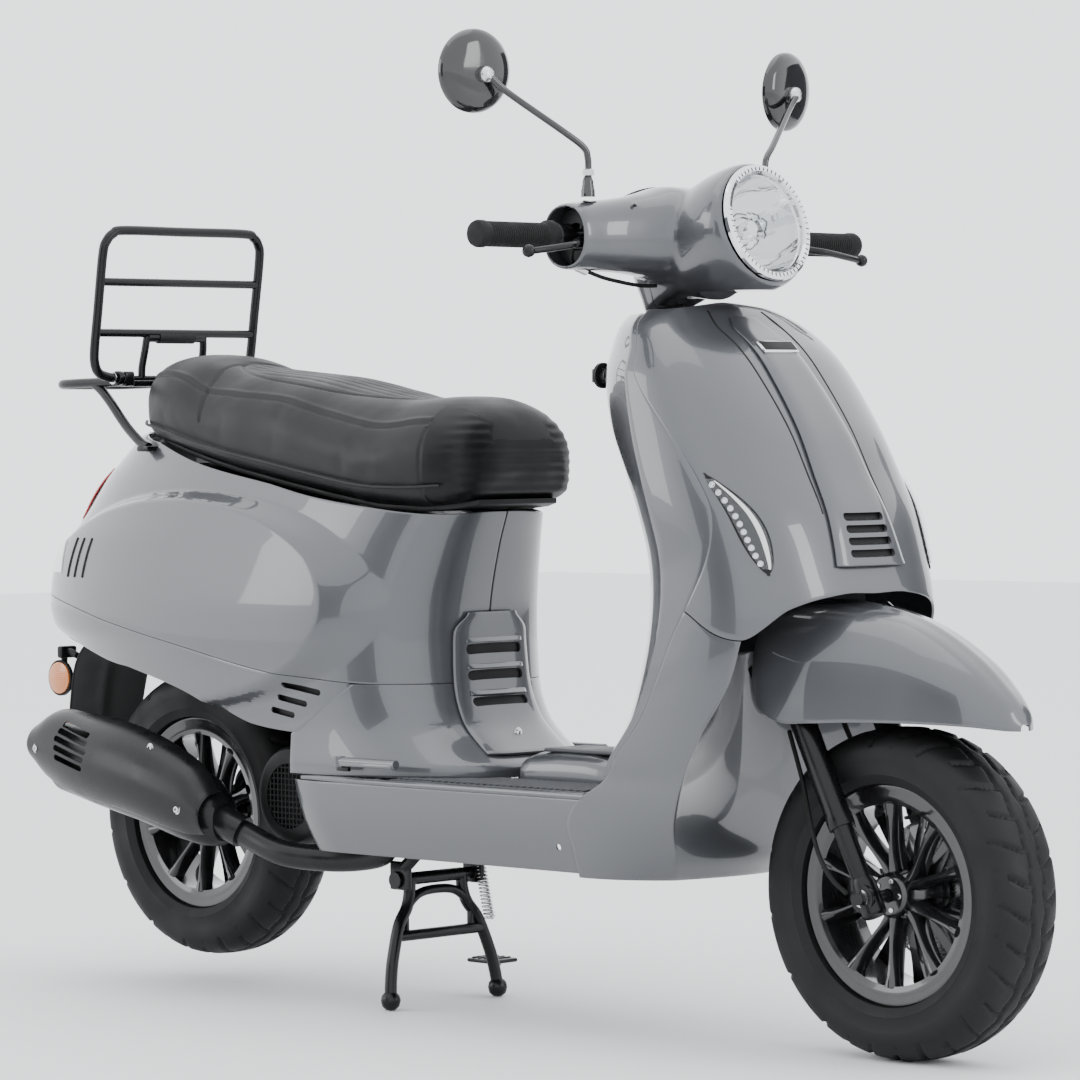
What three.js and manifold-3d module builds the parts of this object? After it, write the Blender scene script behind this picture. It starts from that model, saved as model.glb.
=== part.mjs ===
// Retro moped scooter with a 50 cc swing engine, as separate named pieces.
// Frame: millimetres, +Z up, -Y forward, +X the rider's left. The origin lies on the
// ground below the middle of the scooter. It stands on its centre stand, rear wheel lifted.
import * as THREE from 'three';
import { mergeVertices } from 'three/addons/utils/BufferGeometryUtils.js';
import Module from 'manifold-3d';

const wasm = await Module();
wasm.setup();

// ---------------------------------------------------------------- driving dimensions
const GAP = 0.4;                 // clearance between touching pieces
const SKIN = 3;                  // thickness of the plastic panels

const WHEELBASE = 1337;
const FRONT_AXLE = [0, -720.6, 211];
const REAR_AXLE = [0, FRONT_AXLE[1] + WHEELBASE, 246];
const FRONT_TYRE = { radius: 211, halfWidth: 56 };
const REAR_TYRE = { radius: 210, halfWidth: 55 };
const RIM_RADIUS = 138.6;        // outer radius of the flanges of the 10 inch rims
const RIM_BED = 122;             // radius of the bed between the flanges
const RIM_HALF = 41;
const WHEEL_SEGMENTS = 26;

const RAKE = THREE.MathUtils.degToRad(26.5);
const TRAIL = 75;
const STEER_FOOT_Y = FRONT_AXLE[1] - TRAIL;      // where the steering axis meets the ground
const FORK_OFFSET = -27;                          // fork legs lie this far ahead of the axis
const LEG_X = 78;
const AXLE_ALONG = 222.3;                         // front axle, measured along the axis
const FORK_TRAVEL = 60;
const FORK_UPPER_END = 318;                       // lower end of the fixed fork legs

const HEADLIGHT = { y: -484, z: 1065, radius: 77, tilt: THREE.MathUtils.degToRad(14) };
const BAR = { y: -318, z: 1050, radius: 11 };
const MIRROR = { x: 298, y: -262, z: 1262, radius: 54 };

const ENGINE_PIVOT = [0, 205, 302];
const STAND_PIVOT = [0, 152, 178];
const RACK_PIVOT = [0, 712, 884];
const RACK_STRAP_TOP = 882;      // above the middle of the loop's bars
const SEAT_HINGE = [0, 4, 694];

const BELT_FRONT_POWER = 3;      // superellipse powers of the body's plan outline
const BELT_REAR_POWER = 2.2;
const BELT_MIDDLE_Y = 330;

// Leg shield stations: height, half width, y of the rear edge, y of the front centre,
// depth of the crease ahead of the rear edge, y of the inner face at the centre.
const SHIELD = [
  [345, 190, -362, -672, 10, -285],
  [376, 196, -382, -672, 10, -298],
  [429, 198, -426, -672, 14, -318],
  [481, 199, -453, -672, 18, -330],
  [533, 198, -471, -672, 26, -338],
  [584, 197, -480, -670, 48, -340],
  [634, 196, -478, -657, 74, -335],
  [690, 198, -464, -637, 95, -318],
  [740, 196, -446, -610, 86, -295],
  [800, 190, -425, -577, 56, -262],
  [870, 180, -406, -525, 14, -245],
  [905, 165, -400, -492, 10, -252],
  [936, 145, -385, -450, 8, -266],
  [957, 104, -368, -424, 6, -280],
  [968, 60, -345, -402, 4, -290],
];
const SHIELD_POWER = 3;
const SHIELD_TOP = 953;          // the cowl's neck turns above this edge
// Lower edge of the leg shield's front over the front wheel: share of the way round, height.
const SHIELD_LIP = [[0, 588], [0.24, 586], [0.6, 545], [0.75, 515], [1, 556]];

// Lower front panel: height, flank half width, y where it starts, edge x, edge y, centre y.
const NOSE = [
  [217, 150, -300, 105, -420, -446],
  [249, 172, -300, 140, -452, -470],
  [300, 186, -300, 180, -482, -458],
  [361, 194, -375, 188, -509, -454],
  [434, 198, -440, 189, -551, -448],
  [515, 198, -492, 177, -594, -446],
  [556, 198, -506, 170, -606, -446],
];

// Rear body belts: height, half width, y of the front centre, y of the rear centre.
const BODY = [
  [345, 188, -66, 760],
  [376, 186, -20, 780],
  [400, 185, 8, 800],
  [429, 185, 25, 820],
  [455, 186, 33, 840],
  [492, 187, 37, 868],
  [520, 187, 38, 915],
  [572, 184, 34, 926],
  [645, 171, 16, 905],
  [684, 160, 2, 868],
  [716, 149, -9, 842],
  [741, 140, -15, 820],
  [783, 122, -20, 772],
  [800, 112, -22, 752],
  [812, 70, -22, 716],
];
// Heights along the body: y, underside of the seat, seam line, lower edge of the trim.
const SIDE_LINES = [
  [-40, 700, 456, 385],
  [3, 693, 456, 385],
  [127, 705, 456, 385],
  [244, 720, 466, 386],
  [341, 738, 480, 398],
  [482, 763, 504, 439],
  [620, 793, 528, 466],
  [660, 799, 535, 470],
  [700, 806, 543, 476],
  [778, 812, 556, 492],
  [930, 812, 574, 520],
];
const BULGE = { y: 500, z: 565, length: 410, height: 155, proud: 15 };

// Seat stations: y, half width, height of the underside, height of the top.
const SEAT = [
  [-32, 70, 722, 770],
  [-20, 100, 714, 806],
  [10, 122, 704, 838],
  [60, 138, 699, 850],
  [140, 148, 703, 847],
  [230, 151, 717, 861],
  [330, 150, 734, 880],
  [430, 146, 752, 890],
  [500, 140, 766, 898],
  [560, 132, 779, 914],
  [620, 117, 791, 918],
  [660, 97, 800, 908],
  [688, 60, 812, 878],
];

// Front fender stations: y, half width, ridge height, lower edge height.
const FENDER_POWER = 2.8;
const FENDER = [
  [-911, 9, 432, 423],
  [-902, 26, 452, 424],
  [-870, 46, 484, 428],
  [-839, 58, 509, 430],
  [-790, 69, 538, 431],
  [-742, 78, 558, 431],
  [-690, 90, 571, 430],
  [-640, 102, 578, 428],
  [-600, 108, 579, 428],
  [-566, 110, 577, 444],
  [-550, 105, 574, 468],
];

// ---------------------------------------------------------------- colours
const PAINT = { color: 0x8e9196, roughness: 0.25, metalness: 0.35 };
const BLACK_PAINT = { color: 0x101012, roughness: 0.3, metalness: 0.3 };
const BLACK_ALLOY = { color: 0x101011, roughness: 0.2, metalness: 0.4 };
const BLACK_PLASTIC = { color: 0x1a1a1c, roughness: 0.7, metalness: 0 };
const RUBBER = { color: 0x161618, roughness: 0.85, metalness: 0 };
const ALLOY = { color: 0x8b8d90, roughness: 0.45, metalness: 0.8 };
const STEEL = { color: 0xb8babd, roughness: 0.25, metalness: 1 };
const VINYL = { color: 0x242527, roughness: 0.6, metalness: 0 };
const CLEAR = { color: 0xe6ecef, roughness: 0.05, metalness: 0 };
const RED_LENS = { color: 0x8c1414, roughness: 0.15, metalness: 0 };

const scooter = new THREE.Group();

// ---------------------------------------------------------------- small geometry library
function addPiece(name, geometry, look, parent = scooter) {
  const mesh = new THREE.Mesh(geometry, new THREE.MeshStandardMaterial(look));
  mesh.name = name;
  parent.add(mesh);
  return mesh;
}

// Smooth curve through the rows of a table: the value of one column at a key.
function along(table, key, column) {
  const last = table.length - 1;
  let i = 0;
  while (i < last - 1 && key > table[i + 1][0]) i += 1;
  const slope = (k) => {
    const a = table[Math.max(k - 1, 0)];
    const b = table[Math.min(k + 1, last)];
    return (b[column] - a[column]) / (b[0] - a[0]);
  };
  const span = table[i + 1][0] - table[i][0];
  const t = THREE.MathUtils.clamp((key - table[i][0]) / span, 0, 1);
  const t2 = t * t;
  const t3 = t2 * t;
  return (2 * t3 - 3 * t2 + 1) * table[i][column] + (t3 - 2 * t2 + t) * span * slope(i)
    + (3 * t2 - 2 * t3) * table[i + 1][column] + (t3 - t2) * span * slope(i + 1);
}

// Closed indexed geometry from points and faces, turned so that its faces point out.
function closedGeometry(points, triangles) {
  let volume = 0;
  for (const [a, b, c] of triangles) {
    const cross = new THREE.Vector3().crossVectors(points[b], points[c]);
    volume += points[a].dot(cross);
  }
  const index = [];
  for (const [a, b, c] of triangles) {
    if (volume > 0) index.push(a, b, c);
    else index.push(a, c, b);
  }
  const geometry = new THREE.BufferGeometry();
  geometry.setAttribute('position', new THREE.Float32BufferAttribute(points.flatMap((p) => p.toArray()), 3));
  geometry.setIndex(index);
  return geometry;
}

// Turned or scaled geometry with its faces turned out.
function facingOut(geometry) {
  const { position } = geometry.attributes;
  const index = geometry.index.array;
  const corner = (i) => new THREE.Vector3().fromBufferAttribute(position, index[i]);
  let volume = 0;
  for (let i = 0; i < index.length; i += 3) {
    volume += corner(i).dot(corner(i + 1).cross(corner(i + 2)));
  }
  if (volume < 0) {
    for (let i = 0; i < index.length; i += 3) {
      [index[i], index[i + 1]] = [index[i + 1], index[i]];
    }
  }
  return geometry;
}

// Panel of even thickness under a surface given by a function of u and v in 0..1.
function panel(surface, columns, rows, thickness = SKIN, inward = 1) {
  const at = (u, v) => new THREE.Vector3(...surface(u, v));
  const step = 1e-3;
  const outer = [];
  const inner = [];
  for (let j = 0; j <= rows; j += 1) {
    for (let i = 0; i <= columns; i += 1) {
      const u = i / columns;
      const v = j / rows;
      const p = at(u, v);
      const du = at(Math.min(u + step, 1), v).sub(at(Math.max(u - step, 0), v));
      const dv = at(u, Math.min(v + step, 1)).sub(at(u, Math.max(v - step, 0)));
      const normal = du.cross(dv).normalize().multiplyScalar(inward * thickness);
      outer.push(p);
      inner.push(p.clone().add(normal));
    }
  }
  const points = [...outer, ...inner];
  const count = outer.length;
  const wide = columns + 1;
  const triangles = [];
  const quad = (a, b, c, d) => triangles.push([a, b, c], [a, c, d]);
  for (let j = 0; j < rows; j += 1) {
    for (let i = 0; i < columns; i += 1) {
      const a = j * wide + i;
      quad(a, a + 1, a + 1 + wide, a + wide);
      quad(a + count, a + wide + count, a + 1 + wide + count, a + 1 + count);
    }
  }
  for (let i = 0; i < columns; i += 1) {
    const top = rows * wide + i;
    quad(i + 1, i, i + count, i + 1 + count);
    quad(top, top + 1, top + 1 + count, top + count);
  }
  for (let j = 0; j < rows; j += 1) {
    const a = j * wide;
    const b = a + columns;
    quad(a, a + wide, a + wide + count, a + count);
    quad(b + wide, b, b + count, b + wide + count);
  }
  return closedGeometry(points, triangles);
}

// Solid through closed rings of equal point counts, capped at both ends.
function loft(rings) {
  const points = [];
  const triangles = [];
  const n = rings[0].length;
  for (const ring of rings) {
    for (const p of ring) points.push(new THREE.Vector3(...p));
  }
  for (let k = 0; k + 1 < rings.length; k += 1) {
    for (let i = 0; i < n; i += 1) {
      const a = k * n + i;
      const b = k * n + (i + 1) % n;
      triangles.push([a, b, b + n], [a, b + n, a + n]);
    }
  }
  const last = (rings.length - 1) * n;
  for (let i = 1; i + 1 < n; i += 1) {
    triangles.push([0, i + 1, i], [last, last + i, last + i + 1]);
  }
  return closedGeometry(points, triangles);
}

// Closed ring of a superellipse in the plane of two axes.
function ring(place, halfA, halfB, power, count) {
  const points = [];
  for (let i = 0; i < count; i += 1) {
    const angle = (i / count) * 2 * Math.PI;
    const [a, b] = onSuperellipse(angle, power);
    points.push(place(halfA * a, halfB * b));
  }
  return points;
}

function onSuperellipse(angle, power) {
  const s = Math.sin(angle);
  const c = Math.cos(angle);
  const r = (Math.abs(s) ** power + Math.abs(c) ** power) ** (-1 / power);
  return [r * s, r * c];
}

// Round bar between two points, or along a smooth curve through more.
function rod(points, radius, sides = 6, steps = points.length * 2) {
  const vectors = points.map((p) => new THREE.Vector3(...p));
  const straight = vectors.length === 2;
  const path = straight ? new THREE.LineCurve3(...vectors)
    : new THREE.CatmullRomCurve3(vectors, false, 'centripetal');
  const section = new THREE.Shape();
  for (let i = 0; i < sides; i += 1) {
    const angle = (i / sides) * 2 * Math.PI;
    const place = i === 0 ? 'moveTo' : 'lineTo';
    section[place](radius * Math.cos(angle), radius * Math.sin(angle));
  }
  const count = straight ? 1 : steps;
  return new THREE.ExtrudeGeometry(section, { steps: count, extrudePath: path, bevelEnabled: false });
}

// Turned solid about the Y axis: the profile lists radius and y, from axis to axis or closed.
function turned(profile, segments = 20) {
  return facingOut(new THREE.LatheGeometry(profile.map(([r, y]) => new THREE.Vector2(r, y)), segments));
}

// The same about the X axis: the profile lists radius and x.
function turnedX(profile, segments = 32) {
  return turned(profile, segments).rotateZ(-Math.PI / 2);
}

function closedProfile(profile) {
  return [...profile, profile[0]];
}

function drum(radius, from, to, segments = 20) {
  return turnedX([[0, from], [radius, from], [radius, to], [0, to]], segments);
}

function box(low, high) {
  const size = high.map((h, i) => h - low[i]);
  const middle = high.map((h, i) => (h + low[i]) / 2);
  return new THREE.BoxGeometry(...size).translate(...middle);
}

function toSolid(geometry) {
  const bare = geometry.clone();
  bare.deleteAttribute('normal');
  bare.deleteAttribute('uv');
  const merged = mergeVertices(bare, 1e-3);
  const corners = merged.index.array;
  const kept = [];
  for (let i = 0; i < corners.length; i += 3) {
    const [a, b, c] = [corners[i], corners[i + 1], corners[i + 2]];
    if (a !== b && b !== c && a !== c) kept.push(a, b, c);
  }
  return new wasm.Manifold(new wasm.Mesh({
    numProp: 3,
    vertProperties: new Float32Array(merged.attributes.position.array),
    triVerts: new Uint32Array(kept),
  }));
}

function toGeometry(solid) {
  const mesh = solid.getMesh();
  const geometry = new THREE.BufferGeometry();
  geometry.setAttribute('position', new THREE.BufferAttribute(new Float32Array(mesh.vertProperties), 3));
  geometry.setIndex(new THREE.BufferAttribute(new Uint32Array(mesh.triVerts), 1));
  return geometry;
}

function join(...geometries) {
  return toGeometry(geometries.map(toSolid).reduce((sum, part) => sum.add(part)));
}

function cut(body, ...tools) {
  const tool = tools.map(toSolid).reduce((sum, part) => sum.add(part));
  return toGeometry(toSolid(body).subtract(tool));
}

function common(a, b) {
  return toGeometry(toSolid(a).intersect(toSolid(b)));
}

// The same geometry on the rider's other side.
function mirrored(geometry) {
  const copy = geometry.index ? geometry.clone() : mergeVertices(geometry);
  return facingOut(copy.scale(-1, 1, 1));
}

// Right piece as made, left piece mirrored, both named.
function addPair(name, geometry, look, parent = scooter) {
  addPiece(`${name}_right`, geometry, look, parent);
  addPiece(`${name}_left`, mirrored(geometry), look, parent);
}

// ---------------------------------------------------------------- body outlines
// Point on the leg shield's plan outline at a height: share 0 is the front centre, 1 the crease.
function shieldPoint(height, share, side) {
  const halfWidth = along(SHIELD, height, 1);
  const edgeY = along(SHIELD, height, 2);
  const depth = edgeY - along(SHIELD, height, 3);
  const creaseForward = along(SHIELD, height, 4) / depth;
  const creaseAngle = Math.atan2((1 - creaseForward ** SHIELD_POWER) ** (1 / SHIELD_POWER), creaseForward);
  const [a, b] = onSuperellipse(creaseAngle * share, SHIELD_POWER);
  return [side * halfWidth * a, edgeY - depth * b, height];
}

// Point on the rear body's plan outline: angle 0 is the front centre, PI the rear centre.
function bodyPoint(height, angle, side) {
  const halfWidth = along(BODY, height, 1);
  const front = angle <= Math.PI / 2;
  const power = front ? BELT_FRONT_POWER : BELT_REAR_POWER;
  const [a, b] = onSuperellipse(angle, power);
  const end = along(BODY, height, front ? 2 : 3);
  const reach = Math.abs(BELT_MIDDLE_Y - end);
  return [side * halfWidth * a, BELT_MIDDLE_Y - reach * b, height];
}

function bulge(y, height) {
  const far = Math.hypot((y - BULGE.y) / BULGE.length, (height - BULGE.z) / BULGE.height);
  const t = THREE.MathUtils.clamp((1 - far) / 0.2, 0, 1);
  return BULGE.proud * t * t * (3 - 2 * t);
}

// Body angle at which the outline passes a given y.
function bodyAngle(height, y) {
  const front = y < BELT_MIDDLE_Y;
  const power = front ? BELT_FRONT_POWER : BELT_REAR_POWER;
  const reach = Math.abs(BELT_MIDDLE_Y - along(BODY, height, front ? 2 : 3));
  const forward = Math.min(Math.abs(BELT_MIDDLE_Y - y) / reach, 1);
  const angle = Math.atan2((1 - forward ** power) ** (1 / power), forward);
  return front ? angle : Math.PI - angle;
}

// ---------------------------------------------------------------- front shield
function legShield() {
  return panel((u, v) => {
    const side = u < 0.5 ? -1 : 1;
    const share = Math.abs(2 * u - 1) * 0.995;
    const low = along(SHIELD_LIP, share, 1) + GAP;
    return shieldPoint(low + (SHIELD_TOP - low) * (1 - (1 - v) ** 1.25), share, side);
  }, 16, 9);
}

function innerLegShield() {
  const stripShare = 0.16;
  return panel((u, v) => {
    const height = 354 + (950 - 354) * (1 - (1 - v) ** 1.3);
    const side = u < 0.5 ? -1 : 1;
    const share = Math.abs(2 * u - 1);
    const halfWidth = along(SHIELD, height, 1);
    const edgeY = along(SHIELD, height, 2);
    const depth = edgeY - along(SHIELD, height, 3);
    if (share > 1 - stripShare) {
      const forward = (along(SHIELD, height, 4) - 2.4) * (share - 1 + stripShare) / stripShare / depth;
      const out = (1 - forward ** SHIELD_POWER) ** (1 / SHIELD_POWER);
      return [side * halfWidth * out, edgeY - depth * forward, height];
    }
    const across = share / (1 - stripShare);
    const innerY = along(SHIELD, height, 5);
    return [side * halfWidth * across, innerY + (edgeY - innerY) * across ** 2.2, height];
  }, 18, 9, SKIN, -1);
}

function centreCover() {
  return panel((u, v) => {
    const height = 618 + (925 - 618) * v;
    const halfWidth = 60 - 26 * v;
    const x = halfWidth * (2 * u - 1);
    const edgeY = along(SHIELD, height, 2);
    const depth = edgeY - along(SHIELD, height, 3);
    const across = Math.abs(x) / along(SHIELD, height, 1);
    const y = edgeY - depth * (1 - across ** SHIELD_POWER) ** (1 / SHIELD_POWER);
    return [x, y - 10.5, height];
  }, 6, 6, 5);
}

function frontSignal() {
  return panel((u, v) => {
    const height = 622 + (738 - 622) * v;
    const bow = Math.sin(Math.PI * v);
    const share = 0.93 - 0.25 * (1 - v) - (0.03 + 0.12 * bow) * u;
    const [x, y] = shieldPoint(height, share, -1);
    return [x * 1.02, y - 7 - 2 * bow, height];
  }, 2, 6, 4);
}

function lowerFrontPanel() {
  const flankShare = 0.5;
  return panel((u, v) => {
    const side = u < 0.5 ? -1 : 1;
    const share = Math.abs(2 * u - 1);
    const top = 504 + 38 * Math.max(0, (share - flankShare) / (1 - flankShare));
    const height = 217 + (top - 217) * v;
    const [, halfWidth, startY, edgeX, edgeY, wellY] = NOSE[0].map((_, k) => along(NOSE, height, k));
    if (share > flankShare) {
      const k = (1 - share) / (1 - flankShare);
      const shieldX = height > 345 ? along(SHIELD, height, 1) - 1.5 : halfWidth;
      const from = height > 345 ? along(SHIELD, height, 2) - along(SHIELD, height, 4) - 4 : startY;
      const x = shieldX + (edgeX - shieldX) * k ** 2.5;
      return [side * x, from + (edgeY - from) * k, height];
    }
    const k = 1 - share / flankShare;
    return [side * edgeX * (1 - k), edgeY + (wellY - edgeY) * Math.sin(k * Math.PI / 2), height];
  }, 16, 7);
}

// ---------------------------------------------------------------- floor
function floorBoard() {
  const outline = new THREE.Shape();
  outline.moveTo(-186, -338);
  outline.lineTo(186, -338);
  outline.lineTo(188, 60);
  outline.quadraticCurveTo(188, 190, 178, 232);
  outline.lineTo(132, 232);
  outline.lineTo(132, 70);
  outline.lineTo(-132, 70);
  outline.lineTo(-132, 232);
  outline.lineTo(-178, 232);
  outline.quadraticCurveTo(-188, 190, -188, 60);
  outline.closePath();
  const board = new THREE.ExtrudeGeometry(outline, { depth: 5, bevelEnabled: false, curveSegments: 3 });
  return join(board.translate(0, 0, 322), tunnel());
}

// Raised tunnel along the middle of the floor, moulded with it.
function tunnel() {
  const stations = [[-268, 52, 20], [-240, 56, 38], [-150, 60, 44], [-90, 62, 40]];
  const rings = stations.map(([y, halfWidth, height]) => {
    const points = [];
    for (let i = 0; i <= 8; i += 1) {
      const [a, b] = onSuperellipse((i / 8 - 0.5) * Math.PI, 4);
      points.push([halfWidth * a, y, 325 + height * b]);
    }
    return points;
  });
  return loft(rings);
}

function sideSkirt() {
  return panel((u, v) => {
    const height = 222 + (321 - 222) * v;
    const rear = 222 + 24 * v;
    const y = -292 + (rear + 292) * u;
    const x = 170 + 21 * Math.sin(v * Math.PI / 2);
    return [-x, y, height];
  }, 4, 3);
}

// ---------------------------------------------------------------- rear body
function underSeatPanel() {
  return panel((u, v) => {
    const side = u < 0.5 ? -1 : 1;
    const share = Math.abs(2 * u - 1);
    const height = 330 + (455 - 330) * v;
    const limitY = 230 - 106 * THREE.MathUtils.clamp((height - 385) / 70, 0, 1);
    return bodyPoint(height, bodyAngle(height, limitY) * share, side);
  }, 16, 5);
}

function sidePanel() {
  return panel((u, v) => {
    const angle = 0.006 + (Math.PI - 0.014) * u;
    const low = along(SIDE_LINES, bodyPoint(510, angle, -1)[1], 2) + GAP;
    const high = along(SIDE_LINES, bodyPoint(790, angle, -1)[1], 1) - 6;
    const height = low + (high - low) * v;
    const p = bodyPoint(height, angle, -1);
    return [p[0] - bulge(p[1], height), p[1], height];
  }, 20, 7);
}

function lowerTrim() {
  return panel((u, v) => {
    const startAngle = bodyAngle(455, 141);
    const angle = startAngle + (Math.PI - 0.008 - startAngle) * u;
    const [, y] = bodyPoint(510, angle, -1);
    const seam = along(SIDE_LINES, y, 2) - SKIN;
    const low = Math.max(along(SIDE_LINES, y, 3), 458 - (y - 136) * 0.66);
    const height = low + (seam - low) * v;
    const p = bodyPoint(height, angle, -1);
    return [p[0] - bulge(p[1], height), p[1], height];
  }, 14, 2);
}

function accessCover() {
  return panel((u, v) => {
    const height = 366 + (546 - 366) * v;
    const side = u < 0.5 ? -1 : 1;
    const share = Math.abs(2 * u - 1);
    const p = bodyPoint(height, bodyAngle(height, along(BODY, height, 2) + 26) * share, side);
    return [p[0], p[1] - 10, height];
  }, 6, 6, 3.5);
}

function tailLight() {
  return panel((u, v) => {
    const height = 676 + (752 - 676) * v;
    const side = u < 0.5 ? -1 : 1;
    const share = Math.abs(2 * u - 1);
    const halfAngle = 0.17 - 0.03 * v;
    const p = bodyPoint(height, Math.PI - halfAngle * share, side);
    const proud = 34 * Math.cos(share * 1.2) * Math.sin(Math.PI * (0.18 + 0.64 * v));
    return [p[0], p[1] + 4 + proud, height];
  }, 6, 4, 4);
}

function rearMudguard() {
  const stations = [[0, 700, 508], [1, 800, 506], [2, 860, 470], [3, 884, 400], [4, 890, 330]];
  return panel((u, v) => {
    const y = along(stations, 4 * v, 1);
    const height = along(stations, 4 * v, 2);
    const halfWidth = 82 - 14 * v;
    return [halfWidth * (2 * u - 1), y - 10 * (2 * u - 1) ** 2, height];
  }, 4, 6, SKIN, -1);
}

// ---------------------------------------------------------------- frame and tanks
function stemAxisY(height) {
  return STEER_FOOT_Y + height * Math.tan(RAKE);
}

function frame() {
  const headLow = [0, stemAxisY(640), 640];
  const headHigh = [0, stemAxisY(905), 905];
  const head = rod([headLow, headHigh], 27, 12);
  const bore = rod([[0, stemAxisY(620), 620], [0, stemAxisY(925), 925]], 19, 12);
  const down = rod([[0, stemAxisY(720) + 22, 720], [0, -392, 560], [0, -400, 420], [0, -388, 332],
    [0, -340, 288], [0, 66, 288]], 20, 8, 9);
  const rail = (side) => rod([[side * 14, 40, 288], [side * 70, 90, 294], [side * 108, 130, 350],
    [side * 112, 170, 520], [side * 114, 260, 640], [side * 110, 440, 690],
    [side * 92, 620, 738], [side * 56, 690, 748]], 13, 6, 12);
  const cross = (y, height, reach) => rod([[-reach, y, height], [reach, y, height]], 10);
  const plate = (side, x, [lowY, lowZ], [highY, highZ]) => (
    box([side * x - 4, lowY, lowZ], [side * x + 4, highY, highZ]));
  const hanger = (side) => join(plate(side, 40, [186, 284], [228, 336]),
    rod([[side * 40, 205, 330], [side * 106, 145, 384]], 9));
  const standBrace = box([-74, 56, 172], [74, 68, 300]);
  const shockEar = join(box([96, 590, 641], [124, 632, 700]), box([84, 594, 690], [107, 628, 738]));
  const whole = join(head, down, rail(-1), rail(1), cross(440, 690, 112), cross(690, 748, 56),
    cross(150, 412, 108), hanger(-1), hanger(1), standBrace, shockEar,
    plate(-1, 70, [60, 166], [172, 226]), plate(1, 70, [60, 166], [172, 226]));
  const standPin = drum(9, -80, 80, 12).translate(...STAND_PIVOT);
  const enginePin = drum(9.5, -60, 60, 12).translate(...ENGINE_PIVOT);
  return cut(whole, bore, standPin, enginePin);
}

function roundedBoxRing(y0, y1, halfWidth, height) {
  const middle = (y0 + y1) / 2;
  return ring((a, b) => [a, middle + b, height], halfWidth, (y1 - y0) / 2, 5, 20);
}

function seatBucket() {
  const outer = loft([roundedBoxRing(120, 400, 78, 520), roundedBoxRing(96, 420, 94, 600),
    roundedBoxRing(90, 424, 96, 672)]);
  const inner = loft([roundedBoxRing(123, 397, 75, 523), roundedBoxRing(99, 417, 91, 602),
    roundedBoxRing(93, 421, 93, 690)]);
  return cut(outer, inner);
}

function fuelTank() {
  const body = loft([roundedBoxRing(468, 640, 66, 560), roundedBoxRing(456, 668, 84, 580),
    roundedBoxRing(456, 668, 84, 668), roundedBoxRing(466, 650, 74, 686)]);
  const neck = rod([[0, 560, 680], [0, 560, 712]], 24, 12);
  const cap = rod([[0, 560, 708], [0, 560, 730]], 31, 12);
  return join(body, neck, cap);
}

// ---------------------------------------------------------------- rack
function rackBase() {
  const loop = rod([[-76, 719, 880], [-76, 860, 878], [-50, 902, 877], [50, 902, 877],
    [76, 860, 878], [76, 719, 880]], 7, 6, 12);
  const strut = (side) => rod([[side * 74, 800, 879], [side * 80, 762, 852], [side * 88, 712, 814],
    [side * 100, 664, 789], [side * 102, 644, 782]], 7, 6, 6);
  const front = box([-78, 732, 872], [78, 752, RACK_STRAP_TOP]);
  const lug = (side) => box([side * 85 - 9, 704, 872], [side * 85 + 9, 720, 894]);
  const whole = join(loop, strut(-1), strut(1), front, lug(-1), lug(1));
  return cut(whole, drum(4.5, -120, 120, 8).translate(...RACK_PIVOT));
}

function rackBackrest() {
  const halfWidth = 151;
  const top = 1099;
  const leanY = (height) => 712 - 0.16 * (height - 884);
  const post = (side) => rod([
    [side * 106, 712, 884],
    [side * 128, 711, 888],
    [side * (halfWidth - 2), 706, 914],
    [side * halfWidth, leanY(1000), 1000],
    [side * halfWidth, leanY(top - 30), top - 30],
    [side * (halfWidth - 28), leanY(top), top],
    [0, leanY(top), top],
  ], 7, 6, 14);
  const bar = (height) => rod([[-halfWidth, leanY(height), height], [halfWidth, leanY(height), height]], 6);
  const loopTop = 940;
  const support = rod([[-54, leanY(946), 946], [-57, 704, 920], [-57, 712, 884]], 5.6, 6, 3);
  const eye = (side) => drum(10, side * 101 - 5, side * 101 + 5, 12).translate(...RACK_PIVOT);
  const arch = rod([[-54, leanY(loopTop), loopTop], [54, leanY(loopTop), loopTop]], 8);
  const pin = drum(3.8, -104, 104, 8).translate(...RACK_PIVOT);
  const bars = [bar(1024), bar(950), arch];
  return join(post(-1), post(1), ...bars, eye(-1), eye(1), pin, support, mirrored(support));
}

// ---------------------------------------------------------------- seat
function seatBase() {
  const rows = SEAT.filter(([y]) => y > -25 && y < 680);
  const rings = rows.map(([y, halfWidth, low]) => [
    [-halfWidth + 36, y, low - 8], [halfWidth - 36, y, low - 8],
    [halfWidth - 36, y, low - GAP], [-halfWidth + 36, y, low - GAP]]);
  return loft(rings);
}

function seatCushion() {
  const rings = SEAT.map(([y, halfWidth, low, high]) => {
    const middle = low + (high - low) * 0.42;
    const points = [];
    for (let i = 0; i < 16; i += 1) {
      const [a, b] = onSuperellipse((i / 16) * 2 * Math.PI, 2.8);
      const reach = b > 0 ? high - middle : middle - low;
      const narrow = b > 0 ? 1 - 0.12 * b * b : 1 - 0.04 * b * b;
      points.push([halfWidth * a * narrow, y, middle + reach * b]);
    }
    return points;
  });
  return loft(rings);
}

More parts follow.
